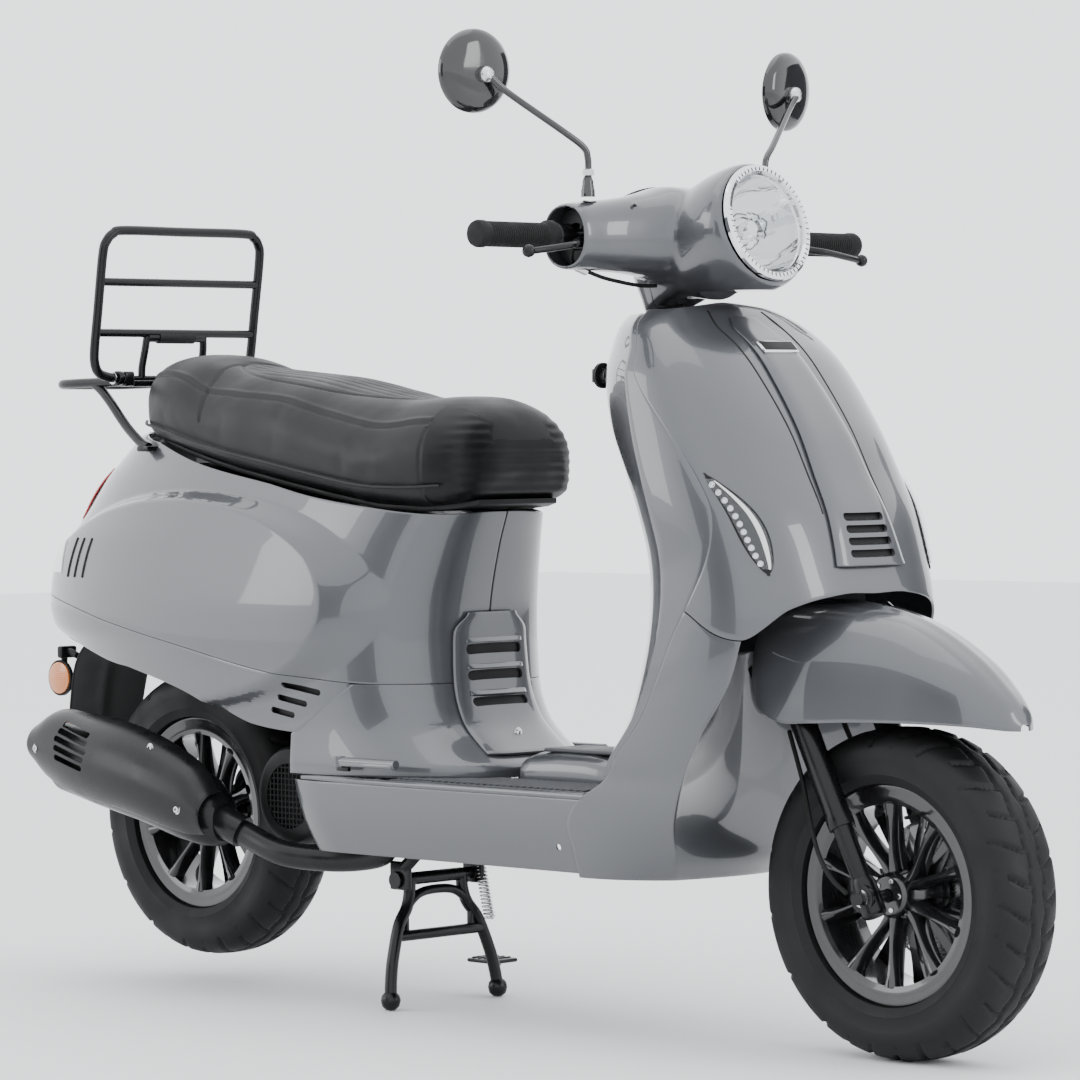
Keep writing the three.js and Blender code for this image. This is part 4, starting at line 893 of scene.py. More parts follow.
def make_lower_front():
    flank = 0.5

    def surface(u, v):
        side = -1 if u < 0.5 else 1
        share = abs(2 * u - 1)
        k = min((1 - share) / (1 - flank), 1)
        lip_share = 1 - (1 - LIP_CORNER) * k
        top = curve_value(SHIELD_LIP, lip_share, 1) - 1.0
        if share <= flank:
            top -= 24 * smooth_step((flank - share) / 0.12)
        height = 217 + (top - 217) * v
        half, start_y, edge_x, edge_y, well_y = row(NOSE, height)
        flush = smooth_step((height - 400) / (top - 400))
        corner = shield_point(max(height, 345), LIP_CORNER, 1)
        edge_x = blend_value(edge_x, corner[0], flush)
        edge_y = blend_value(edge_y, corner[1], flush)
        if share > flank:
            blend = smooth_step((height - 325) / 40)
            shield_row = row(SHIELD, max(height, 345))
            shield_x = blend_value(half, shield_row[0], blend)
            start = blend_value(start_y, shield_row[1] - shield_row[3] - 0.6, blend)
            x = shield_x + (edge_x - shield_x) * k ** 2.5
            low_point = np.array([side * x, start + (edge_y - start) * k, height])
            high_point = shield_point(max(height, 345), lip_share, side)
            high_point[2] = height
            return low_point + (high_point - low_point) * flush
        k = 1 - share / flank
        return np.array([side * edge_x * (1 - k), edge_y + (well_y - edge_y) * math.sin(k * math.pi / 2),
                         height])

    finish(panel("lower_front_skin", surface, 128, 56, SKIN, -1), "chassis", "paint", "lower_front_panel")


def make_floor():
    outline = [(-186, -338), (186, -338), (188, 60), (188, 110), (186, 160), (183, 200), (178, 232),
               (132, 232), (132, 70), (-132, 70), (-132, 232), (-178, 232), (-183, 200), (-186, 160),
               (-188, 110), (-188, 60)]
    rings = [[(x, y, z) for x, y in outline] for z in (322, 327)]
    board = soften(loft("board", rings), 1.8, 3)
    stations = [(-268, 50, 8), (-262, 54, 20), (-240, 58, 38), (-200, 60, 43), (-150, 61, 44),
                (-100, 63, 42), (-84, 64, 36)]
    tunnel_rings = []
    for y, half, tall in stations:
        points = []
        for i in range(29):
            a, b = on_superellipse((i / 28 - 0.5) * math.pi, 4)
            points.append((half * a, y, 324 + tall * b))
        tunnel_rings.append(points)
    tunnel = soften(loft("tunnel", tunnel_rings), 2.0, 2)
    finish(joined("floor_skin", board, tunnel), "chassis", "paint", "floorboard")
    lid = soften(block("lid", (-40, -240, 366), (40, -106, 371), 0), 4, 4)
    finish(lid, "chassis", "floor_rib")
    for side in (-1, 1):
        low, high = (70, 176) if side > 0 else (-176, -70)
        mat = block("mat", (low, -318, 327), (high, 56, 329.2), 1)
        ribs = []
        for k in range(34):
            y = -330 + k * 12.5
            rib = block("rib", (-90, -2.4, 0), (90, 2.4, 2.6), 0.8,
                        Matrix.Translation(Vector((side * 123, y, 329)) * MM)
                        @ Matrix.Rotation(side * math.radians(28), 4, "Z"), 1)
            ribs.append(rib)
        field = joined("ribs", *ribs)
        trim = block("trim", (low + 7, -310, 320), (high - 7, 48, 340), 0)
        keep = field.modifiers.new("trim", "BOOLEAN")
        keep.operation = "INTERSECT"
        keep.solver = "EXACT"
        keep.use_self = True
        keep.object = trim
        bake(field)
        bpy.data.objects.remove(trim)
        finish(joined(f"floor_mat_{'left' if side > 0 else 'right'}", mat, field), "chassis", "floor_rib")
        strip = tube("floor_lip", [(side * 187.5, -330, 325), (side * 189, -100, 325),
                                   (side * 189, 60, 325),
                                   (side * 186, 160, 325), (side * 181, 226, 325)], 4.2, 14, 6, 1)
        finish(strip, "chassis", "paint")


def make_side_skirts():
    def surface(u, v):
        height = 222 + (321 - 222) * v
        rear = 226 + 18 * v - 10 * (1 - v) ** 3
        start = -301 - 30 * smooth_step((height - 292) / 30)
        y = start + (rear - start) * u
        x = 168.4 + 19.6 * math.sin(v * math.pi / 2) - 8 * max(0, (u - 0.9) / 0.1) ** 2
        return np.array([-x, y, height])

    skirt = panel("side_skirt_skin_right", surface, 60, 24, SKIN, 1, 1.0)
    hole = slot_tool((-181, -286 + 14, 256), (0, 0, 1), (1, 0, 0), 9, 8.9, 40)
    cut(skirt, hole)
    twin = mirrored(skirt, "side_skirt_skin_left")
    finish(skirt, "chassis", "paint", "side_skirt_right")
    finish(twin, "chassis", "paint", "side_skirt_left")


# ------------------------------------------------------------------ rear body
def make_under_seat():
    def surface(u, v):
        side = -1 if u < 0.5 else 1
        share = abs(2 * u - 1)
        height = 330 + (455 - 330) * v
        limit = 134.5 + (458 - max(height, 385)) / 0.66
        return body_point(height, body_angle(height, limit) * share, side)

    finish(panel("under_seat_skin", surface, 96, 30, SKIN, -1, 0.4), "chassis", "paint", "under_seat_panel")

    def centre_surface(x, height, proud):
        half, front_y, _ = row(BODY, height)
        across = min(abs(x) / half, 1)
        reach = BODY_MIDDLE - front_y
        y = BODY_MIDDLE - reach * (1 - across ** BODY_FRONT_POWER) ** (1 / BODY_FRONT_POWER)
        return np.array([x, y - proud, height])

    low, high = 362, 552

    def half_width(height):
        share = (height - low) / (high - low)
        corner = 1 - 0.32 * smooth_step((share - 0.82) / 0.18) ** 2
        return (78 - 10 * share) * corner

    cover = panel("access_cover_skin", lambda u, v: centre_surface(
        half_width(low + (high - low) * v) * (2 * u - 1), low + (high - low) * v,
        6 + 4 * (1 - abs(2 * u - 1) ** 6)), 40, 50, 3.5, -1, 1.2)
    for i in range(3):
        height = 430 + 36 * i
        tool = slot_tool((0, centre_surface(0, height, 10)[1], height), (1, 0, 0), (0, 1, -0.5), 104, 13,
                         30)
        cut(cover, tool)
        lip_low = height + 8
        lip = panel("louvre", lambda u, v: centre_surface(
            104 * (u - 0.5), lip_low + 6 * v, 9 + 5 * math.sin(math.pi * u) ** 0.4 * (1 - v)), 24, 4, 2, 1,
            0.6)
        finish(lip, "chassis", "paint")
    finish(cover, "chassis", "paint", "access_cover")
    # dark sheet behind the louvres: painted shade seen through the slots
    slot_shade = panel("access_slot_shade", lambda u, v: centre_surface(116 * (u - 0.5), 412 + 108 * v, 3.4),
                    16, 10, 1.5, 1, 0)
    finish(slot_shade, "chassis", "black_plastic")
    bolt("access_bolt", at(0, centre_surface(0, 386, 9)[1], 386, "-Y"), 5, 3)


def make_side_panels():
    def surface(u, v):
        angle = 0.006 + (math.pi - 0.014) * u
        y_low = body_point(510, angle)[1]
        y_high = body_point(790, angle)[1]
        low = curve_value(SIDE_LINES, y_low, 2) + 0.2
        high = curve_value(SIDE_LINES, y_high, 1) - 6
        return side_surface(low + (high - low) * v, angle)

    skin = panel("side_panel_skin_right", surface, 190, 84)

    # dark strip just inside the seam between side panel and trim: painted shade in the panel gap
    def behind_seam(u, v):
        angle = 0.1 + (math.pi - 0.16) * u
        seam = curve_value(SIDE_LINES, body_point(510, angle)[1], 2)
        return side_surface(seam - 7 + 14 * v, angle, -3.6)

    strip = panel("seam_gap_shade", behind_seam, 120, 3, 1.2, 1, 0)
    finish(mirrored(strip, "seam_gap_shade_left"), "chassis", "black_plastic")
    finish(strip, "chassis", "black_plastic")
    twin = mirrored(skin, "side_panel_skin_left")
    finish(skin, "chassis", "paint", "side_panel_right")
    finish(twin, "chassis", "paint", "side_panel_left")


def make_trims():
    start_angle = body_angle(455, 141)

    def surface(u, v):
        angle = start_angle + (math.pi - 0.008 - start_angle) * u
        y = body_point(510, angle)[1]
        seam = curve_value(SIDE_LINES, y, 2) - 0.5
        low = max(curve_value(SIDE_LINES, y, 3), 458 - (y - 136) * 0.66)
        return side_surface(low + (seam - low) * v, angle)

    trim = panel("lower_trim_skin_right", surface, 130, 14)
    slots = []
    for middle_y, middle_z, length in ((222, 447, 66), (243, 430, 58), (262, 413, 48)):
        slots.append(slot_tool((-186, middle_y, middle_z), (0, 1, 0.16), (1, 0, 0), length, 8.5, 60))
    cut(trim, *slots)
    twin = mirrored(trim, "lower_trim_skin_left")
    finish(trim, "chassis", "paint", "lower_trim_right")
    finish(twin, "chassis", "paint", "lower_trim_left")

    # dark sheet behind the trim's slots: painted shade seen through them
    def behind_slots(u, v):
        y = 160 + 160 * u
        low = max(curve_value(SIDE_LINES, y, 3), 458 - (y - 136) * 0.66) + 5
        height = low + (curve_value(SIDE_LINES, y, 2) - 4 - low) * v
        return side_surface(height, body_angle(height, y), -9)

    slot_shade = panel("trim_slot_shade", behind_slots, 24, 6, 1.5, 1, 0)
    finish(mirrored(slot_shade, "trim_slot_shade_left"), "chassis", "black_plastic")
    finish(slot_shade, "chassis", "black_plastic")


def make_tail():
    def surface(grow, proud_by):
        def point(u, v):
            height = 676 - grow + (752 - 676 + 2 * grow) * v
            side = -1 if u < 0.5 else 1
            share = abs(2 * u - 1)
            half_angle = 0.27 - 0.05 * v + grow * 0.004
            p = body_point(height, math.pi - half_angle * share, side)
            p[1] += 4 + proud_by * math.cos(share * 1.2) * math.sin(math.pi * (0.18 + 0.64 * v))
            return p


        return point
    finish(panel("tail_lens", surface(0, 34), 36, 24, 3, 1, 1.2), "chassis", "red_lens", "tail_light")
    finish(panel("tail_bezel", surface(5, 10), 36, 24, 4, 1, 1.5), "chassis", "gloss_black")
    for side in (-1, 1):
        def rear_point(height, angle, proud):
            point = side_surface(height, math.pi - angle, proud)
            point[0] *= -side
            return point
        signal = panel("rear_signal", lambda u, v: rear_point(
            598 + 60 * v, 0.42 + 0.24 * u * (1 - 0.25 * v), 2.4 + 2 * math.sin(math.pi * u)),
            20, 18, 3, side, 1.0)
        finish(signal, "chassis", "lamp_white")
        # dark beads beside each rear signal: painted shade of three slots
        for k in range(3):
            points = [rear_point(height, 0.74 + 0.06 * k, -0.6) for height in (592, 610, 632, 650)]
            finish(tube("tail_slot_shade", points, 2.6, 8, 4, 0.8), "chassis", "black_plastic")


def make_rear_mudguard():
    stations = [[0, 700, 508], [1, 800, 506], [2, 860, 470], [3, 884, 400], [4, 890, 330]]

    def surface(u, v):
        y = curve_value(stations, 4 * v, 1)
        height = curve_value(stations, 4 * v, 2)
        half = 82 - 14 * v
        across = 2 * u - 1
        ridge = 3 * math.exp(-(across / 0.16) ** 2)
        return np.array([half * across, y - 10 * across ** 2 + ridge, height])

    finish(panel("mudguard_skin", surface, 36, 60, SKIN, -1, 1.2), "chassis", "black_plastic",
           "rear_mudguard")
    bracket = tube("reflector_bracket", [(-60, 868, 470), (-60, 888, 476), (-60, 898, 470),
                                         (-60, 900, 448)],
                   5, 14)
    plate = block("reflector_plate", (-74, 888, 466), (-44, 900, 484), 3)
    finish(joined("reflector_bracket", bracket, plate), "chassis", "black_plastic")
    for side in (-1, 1):
        cup = turned("reflector_cup", [(0, 0), (25, 0), (27, 2), (27, 7), (25.5, 8), (24, 6), (0, 6)],
                     at(side * 62, 900, 436, "X" if side > 0 else "-X"), 56)
        finish(cup, "chassis", "black_plastic")
        lens = turned("reflector_lens", [(0, 6.2), (23.6, 6.2), (23.6, 8.6), (20, 10.2), (0, 11)],
                      at(side * 62, 900, 436, "X" if side > 0 else "-X"), 56)
        finish(lens, "chassis", "amber")
    twin = bpy.data.objects["reflector_bracket"]
    finish(mirrored(twin, "reflector_bracket_left"), "chassis", "black_plastic")


# ------------------------------------------------------------------ seat
SEAT_CAP = 5.0


def seat_ring(y, half, low, high, count=56):
    middle = low + (high - low) * 0.42
    points = []
    for i in range(count):
        a, b = on_superellipse(i / count * math.tau, 2.8)
        if b < 0:
            a, b = on_superellipse(i / count * math.tau, 7)
        reach = high - middle if b > 0 else middle - low
        narrow = 1 - 0.12 * b * b if b > 0 else 1
        points.append((half * a * narrow, y, middle + reach * b))
    return points


def swell(piece, seed, pressure=4.0, cap=22.0, voxel=5.0):
    """Puffs up a closed cushion with a short cloth simulation, each point moving no further than
    the cap, and leaves the result as the piece's mesh."""
    remesh = piece.modifiers.new("even", "REMESH")
    remesh.mode = "VOXEL"
    remesh.voxel_size = voxel * MM
    bake(piece)
    rest = np.empty(len(piece.data.vertices) * 3, np.float32)
    piece.data.vertices.foreach_get("co", rest)
    rest = rest.reshape(-1, 3)
    cloth = piece.modifiers.new("cloth", "CLOTH")
    cloth.settings.use_pressure = True
    cloth.settings.uniform_pressure_force = pressure
    cloth.settings.effector_weights.gravity = 0
    cloth.settings.quality = 5
    cloth.settings.tension_stiffness = 22
    cloth.settings.compression_stiffness = 22
    cloth.settings.mass = 0.35
    cloth.point_cache.frame_start = 1
    cloth.point_cache.frame_end = 20
    scene = bpy.context.scene
    random.seed(seed)
    for frame_number in range(1, 21):
        scene.frame_set(frame_number)
    graph = bpy.context.evaluated_depsgraph_get()
    puffed = piece.evaluated_get(graph)
    moved_to = np.empty(len(puffed.data.vertices) * 3, np.float32)
    puffed.data.vertices.foreach_get("co", moved_to)
    shift = moved_to.reshape(-1, 3) - rest
    piece.modifiers.clear()
    scene.frame_set(1)
    length = np.linalg.norm(shift, axis=1, keepdims=True)
    allowed = cap * MM
    shift *= np.minimum(1, allowed / np.maximum(length, 1e-9))
    piece.data.vertices.foreach_set("co", (rest + shift).ravel())
    piece.data.update()
    return piece


def seat_top(y):
    return curve_value(SEAT, y, 3)


def carve(piece, depth_at):
    """Moves every point along its normal by depth_at(x, y, z), all in millimetres."""
    mesh = piece.data
    count = len(mesh.vertices)
    points = np.empty(count * 3, np.float32)
    normals = np.empty(count * 3, np.float32)
    mesh.vertices.foreach_get("co", points)
    mesh.vertex_normals.foreach_get("vector", normals)
    points = points.reshape(-1, 3)
    normals = normals.reshape(-1, 3)
    depths = np.array([depth_at(*(p / MM), n) for p, n in zip(points, normals)])
    points += normals * depths[:, None] * MM
    mesh.vertices.foreach_set("co", points.ravel())
    mesh.update()
    return piece


def groove(distance, width, depth):
    return -depth * math.exp(-(distance / width) ** 2)


def seat_detail(x, y, z, normal):
    """Seams, piping and sewn channels of the seat, as a shift along the normal."""
    shift = 0.0
    up = normal[2]
    side_line = curve_value(SEAT, min(max(y, -32), 688), 1)
    # side seams that run along the seat's shoulders
    shoulder = abs(x) - (side_line * 0.80)
    top = seat_top(min(max(y, -32), 688))
    if up > 0.15 and y > 40:
        shift += groove(shoulder, 2.2, 2.2)
        shift += 1.5 * math.exp(-((shoulder + 5) / 3.0) ** 2)
    # oval panel with lengthwise channels on the rider's place
    middle_y, long_half, wide_half = 330, 196, 84
    oval = math.hypot((y - middle_y) / long_half, x / wide_half)
    if up > 0.3:
        shift += groove((oval - 1) * 84, 2.4, 2.8)
        if oval < 0.97:
            wave = abs(math.sin(x / 20.0 * math.pi))
            fade = smooth_step((0.97 - oval) / 0.12)
            shift += (2.2 * wave ** 0.6 - 1.2) * fade
    # cross seam between rider and passenger
    cross = y - (520 - 0.0016 * x * x)
    if up > 0.0:
        shift += groove(cross, 3.0, 2.6)
    # sewn ribs across the nose
    if y < 44 and normal[1] < -0.2 and z < top - 14:
        shift += 0.6 * math.sin(z / 13.0 * math.tau) * smooth_step((-0.2 - normal[1]) / 0.4)
    # upright seam where the nose's darker cover begins
    if up < 0.6:
        shift += groove(y - 40, 2.0, 1.8)
    return shift


def make_seat():
    base_rings = []
    for y, half, low, _ in SEAT:
        if not -25 < y < 680:
            continue
        outline = []
        for x, z in ((-half + 36, low - 8), (half - 36, low - 8), (half - 36, low - 0.6),
                     (-half + 36, low - 0.6)):
            outline.append((x, y, z))
        base_rings.append(outline)
    base = soften(loft("seat_base_tray", base_rings), 1.5, 2)
    finish(base, "seat", "black_plastic", "seat_base")
    stations = []
    steps = 70
    first, last = SEAT[0][0] + 2, SEAT[-1][0] - 4
    for k in range(steps + 1):
        y = first + (last - first) * k / steps
        half, low, high = row(SEAT, y)
        stations.append((y, half - 5, low - 1.5, high - 6))
    cushion = loft("seat_cover", [seat_ring(*station) for station in stations])
    swell(cushion, 7, 3.0, SEAT_CAP)
    settle = cushion.modifiers.new("settle", "SMOOTH")
    settle.factor = 0.5
    settle.iterations = 14
    subdivide = cushion.modifiers.new("finer", "SUBSURF")
    subdivide.levels = 1
    bake(cushion, 60)
    carve(cushion, seat_detail)
    shade(cushion, 60)
    finish(cushion, "seat", "vinyl", "seat_cushion")
    # darker ribbed cover of the nose is a material of its own
    cushion.data.materials.append(LOOKS["vinyl_ribbed"].material)
    for face in cushion.data.polygons:
        if face.center.y < 0.040 and face.center.z < seat_top(max(face.center.y / MM, -30)) * MM - 0.012:
            face.material_index = 1
    for side in (-1, 1):
        points = []
        for k in range(25):
            y = 6 + (672 - 6) * k / 24
            half, low, high = row(SEAT, y)
            points.append((side * (half * 0.985 - 1.0), y, low + (high - low) * 0.17))
        finish(tube("seat_piping", points, 2.2, 10, 3, 1), "seat", "vinyl")


# ------------------------------------------------------------------ rack
def lean_y(height):
    return 712 - 0.16 * (height - 884)


def make_rack():
    half, top = 151, 1099
    frame_points = []
    for side in (-1, 1):
        points = [(side * 106, 712, 884), (side * 122, 712, 886), (side * 138, 711, 891),
                  (side * (half - 3), 708, 903), (side * half, lean_y(925), 925),
                  (side * half, lean_y(980), 980),
                  (side * half, lean_y(top - 36), top - 36),
                  (side * (half - 5), lean_y(top - 16), top - 16),
                  (side * (half - 16), lean_y(top - 5), top - 5), (side * (half - 36), lean_y(top), top)]
        frame_points.append(points)
    hoop = tube("hoop", frame_points[0] + [(0, lean_y(top), top)] + frame_points[1][::-1], 7, 20, 6)
    parts = [hoop]
    for height in (1024, 950):
        parts.append(tube("bar", [(-half + 2, lean_y(height), height), (half - 2, lean_y(height), height)],
                          6, 18))
    for side in (-1, 1):
        parts.append(tube("support", [(side * 54, lean_y(946), 946), (side * 56, 705, 925),
                                      (side * 57, 711, 900), (side * 57, 712, 884)], 5.6, 16, 6))
        parts.append(turned("eye", [(4.4, -5), (10, -5), (10.6, -4), (10.6, 4), (10, 5), (4.4, 5)],
                            at(side * 101, 712, 884, "X"), 32))
    parts.append(tube("arch", [(-54, lean_y(944), 944), (54, lean_y(944), 944)], 7, 18))
    parts.append(tube("pin", [(-104, 712, 884), (104, 712, 884)], 3.8, 14))
    sleeve = tube("sleeve", [(-34, lean_y(944), 944), (34, lean_y(944), 944)], 9, 22)
    finish(joined("rack_backrest_tubes", *parts), "rack", "black_paint", "rack_backrest")
    finish(sleeve, "rack", "black_plastic")

    loop = tube("loop", [(-76, 719, 880), (-76, 790, 879), (-76, 850, 878), (-70, 880, 877.5),
                         (-50, 900, 877),
                         (-20, 904, 877), (20, 904, 877), (50, 900, 877), (70, 880, 877.5), (76, 850, 878),
                         (76, 790, 879), (76, 719, 880)], 7, 20, 6)
    base_parts = [loop]
    for side in (-1, 1):
        base_parts.append(tube("strut", [(side * 74, 806, 879), (side * 76, 784, 868),
                                         (side * 80, 758, 850),
                                         (side * 88, 712, 814), (side * 98, 668, 790),
                                         (side * 102, 644, 782)],
                               7, 20, 6))
        base_parts.append(block("lug", (side * 85 - 9, 704, 872), (side * 85 + 9, 721, 894), 3))
        base_parts.append(block("foot", (side * 102 - 12, 632, 776), (side * 102 + 12, 658, 784), 2.5))
    base_parts.append(block("strap", (-78, 732, 872), (78, 752, 882), 2))
    finish(joined("rack_base_tubes", *base_parts), "chassis", "black_paint", "rack_base")
    for side in (-1, 1):
        bolt("rack_bolt", at(side * 111.8, 712, 884, "X" if side > 0 else "-X"), 6, 3.5, body="rack")


# ------------------------------------------------------------------ centre stand
def make_stand():
    parts = []
    for side in (-1, 1):
        parts.append(tube("leg", [(side * 50, 152, 178), (side * 51, 151.5, 158), (side * 58, 150, 138),
                                  (side * 76, 147, 114), (side * 92, 142, 72), (side * 99, 139, 44),
                                  (side * 103, 136, 16)], 8.6, 20, 6))
        parts.append(turned("foot", [(0, -13.8), (7, -12.6), (12, -8), (14, 0), (12.5, 7), (9, 11),
                                     (0, 13)],
                            at(side * 103, 136, 14), 36))
        parts.append(block("gusset", (side * 62 - 3, 143, 96), (side * 62 + 3, 152, 138), 1.5))
    parts.append(tube("arch", [(-50, 152, 178), (50, 152, 178)], 9, 22))
    parts.append(tube("cross", [(-86, 145, 100), (86, 145, 100)], 7.5, 18))
    parts.append(tube("hoop", [(-66, 148, 126), (-50, 149, 147), (-24, 150, 159), (24, 150, 159),
                               (50, 149, 147),
                               (66, 148, 126)], 6.5, 18, 6))
    parts.append(tube("pivot", [(-76, 152, 178), (76, 152, 178)], 8.4, 22))
    tread = block("tread", (100, 140, 45), (148, 196, 51), 2.5)
    for i in range(4):
        y = 150 + 12 * i
        parts.append(block("ridge", (104, y, 50), (144, y + 3.5, 53), 1))
    arm = tube("arm", [(99, 139, 46), (116, 150, 46), (124, 176, 48)], 6, 14, 5)
    finish(joined("centre_stand_tubes", *parts, tread, arm), "stand", "black_paint", "centre_stand")
    coil = []
    for k in range(15 * 12 + 1):
        angle = k / 12 * math.tau
        share = k / (15 * 12)
        centre = Vector((74, blend_value(120, 139, share), blend_value(114, 190, share)))
        coil.append(tuple(centre + Vector((math.cos(angle), math.sin(angle), 0)) * 7))
    spring = tube("stand_spring", coil, 1.6, 7, 1, 0.4)
    finish(spring, "stand", "steel")


# ------------------------------------------------------------------ wheels
def make_tyre(name, place, radius, half, body, node):
    around, across = 420, 56
    blocks = 30
    deepest = 4.6
    points = []
    bead = [(141, 47), (141, 36.6), (122.4, 36.6)]
    for k in range(around):
        turn = k / around * math.tau
        block_phase = (k / around * blocks) % 1.0
        section = []
        for i in range(across + 1):
            t = i / across
            a, b = on_superellipse((t - 0.5) * math.pi, 2.6)
            r, x = 172 + (radius - 172) * b, half * a
            lean = abs(x) / half
            carve_depth = 0.0
            if r > 176:
                # zigzag channels on each side of the middle and slanted shoulder grooves
                wave = 0.10 * math.sin(turn * blocks)
                carve_depth += 4.2 * math.exp(-(((lean - 0.20 - 0.35 * wave) / 0.045) ** 2))
                if 0.26 < lean < 0.985:
                    slant = (block_phase + 0.85 * (lean - 0.26) ** 1.4 + (0.5 if x > 0 else 0)) % 1.0
                    reach = 0.96 if int(k / around * blocks) % 2 else 0.80
                    if lean < reach:
                        carve_depth += deepest * math.exp(-(((slant - 0.5) / 0.085) ** 4))
            carve_depth = min(carve_depth, deepest)
            section.append((r - carve_depth * max(b, 0.15),
                            x - math.copysign(carve_depth * 0.5 * (1 - b), x)))
        # raised rings on the side wall
        section = [(bead[2][0], -bead[2][1]), (bead[1][0], -bead[1][1]), (bead[0][0], -bead[0][1]),
                   (150, -52.2), (153, -53.6), (155, -52.8)] + section \
            + [(155, 52.8), (153, 53.6), (150, 52.2)] + bead
        for r, x in section:
            points.append((x, r * math.cos(turn), r * math.sin(turn)))
    wide = len(points) // around
    faces = []
    for k in range(around):
        for i in range(wide):
            j = (i + 1) % wide
            m = (k + 1) % around
            faces.append((k * wide + i, k * wide + j, m * wide + j, m * wide + i))
    tyre = add_mesh(f"{name}_tread", points, faces, 38)
    finish(moved(tyre, place), body, "tyre", node)


def make_rim(name, place, body, node, bore):
    flange = [(122, 37), (138.6, 37), (138.6, 40.6), (136, 41), (132, 39.5), (126, 40.2), (120, 38.6),
              (115, 37.2)]
    barrel = flange + [(114, 20), (112, 0), (114, -20)] + [(r, -x) for r, x in flange][::-1] + [(118, -20),
                                                                                                (116, 0),
                                                                                          (118, 20)]
    band = moved(turned("band", barrel, at(0, 0, 0, "X"), 128), place)
    hub_profile = [(bore, -42), (24, -42), (28, -38), (30, -30), (30, 30), (33, 34), (33, 40), (26, 42),
                   (bore, 42)]
    hub = moved(turned("hub", hub_profile, at(0, 0, 0, "X"), 64), place)
    parts = [band, hub]
    for i in range(5):
        for lean in (-1, 1):
            middle = i * math.tau / 5
            rings = []
            for k in range(11):
                share = k / 10
                r = 27 + (116 - 27) * share
                angle = middle + lean * (0.13 + 0.16 * share + 0.05 * math.sin(math.pi * share))
                width = 9.0 - 3.2 * math.sin(math.pi * share) + 2.0 * share ** 4
                deep = 13 - 3 * share
                centre_x = 17 + 15 * share ** 1.5
                rings.append([(centre_x + dx * deep, r * math.cos(angle) - dt * width * math.sin(angle),
                               r * math.sin(angle) + dt * width * math.cos(angle))
                              for dx, dt in ((-1, -1), (-0.2, -1), (0.72, -0.62), (1.0, -0.22), (1.0, 0.22),
                                             (0.72, 0.62), (-0.2, 1), (-1, 1))])
            twin = [[(-x, y, z) for x, y, z in ring_points] for ring_points in rings]
            for spoke_rings in (rings, twin):
                parts.append(moved(loft("spoke", spoke_rings, crease=28), place))
    finish(joined(f"{name}_cast", *parts), body, "gloss_alloy", node)
    bolts = []
    for i in range(5):
        angle = (i + 0.5) * math.tau / 5
        for side in (-1, 1):
            spot = at(side * 40, 19 * math.cos(angle), 19 * math.sin(angle), "X" if side > 0 else "-X")
            bolts.append(turned("nut", [(0, 0), (3.6, 0), (3.6, 3.2), (3, 3.8), (0, 3.8)], place @ spot, 6))
    finish(joined(f"{name}_nuts", *bolts), body, "steel")


def make_disc(place):
    segments = 180
    disc = turned("disc", [(66, 50), (92, 50), (92, 54), (66, 54)], at(0, 0, 0, "X"), segments)
    cutters = []
    for i in range(24):
        angle = i / 24 * math.tau
        r = 73 + 6.5 * (i % 3)
        cutters.append(slot_tool((52, r * math.cos(angle), r * math.sin(angle)), (0, 0, 1), (1, 0, 0),
                                 5.2, 5.1, 20))
    cut(disc, *cutters)
    carrier = turned("carrier", [(20, 46), (40, 47), (70, 50), (70, 53), (40, 50), (20, 50)],
                     at(0, 0, 0, "X"), 96)
    finish(moved(joined("brake_disc_drilled", disc, carrier), place), "front_wheel", "steel", "brake_disc")


def make_wheels():
    front = Matrix.Translation(Vector(FRONT_AXLE) * MM)
    rear = Matrix.Translation(Vector(REAR_AXLE) * MM)
    make_tyre("front_tyre", front, 211, 56, "front_wheel", "front_tyre")
    make_tyre("rear_tyre", rear, 210, 55, "rear_wheel", "rear_tyre")
    make_rim("front_rim", front, "front_wheel", "front_rim", 9)
    make_rim("rear_rim", rear, "rear_wheel", "rear_rim", 10)
    make_disc(front)
    for place, body, angle in ((front, "front_wheel", 2.0), (rear, "rear_wheel", 1.0)):
        valve = turned("valve", [(0, 0), (3.2, 0), (3.2, 10), (2.4, 12), (2.4, 22), (0, 23)],
                       at(-39, 112 * math.cos(angle), 112 * math.sin(angle), "-X"), 16)
        finish(moved(valve, place), body, "black_plastic")


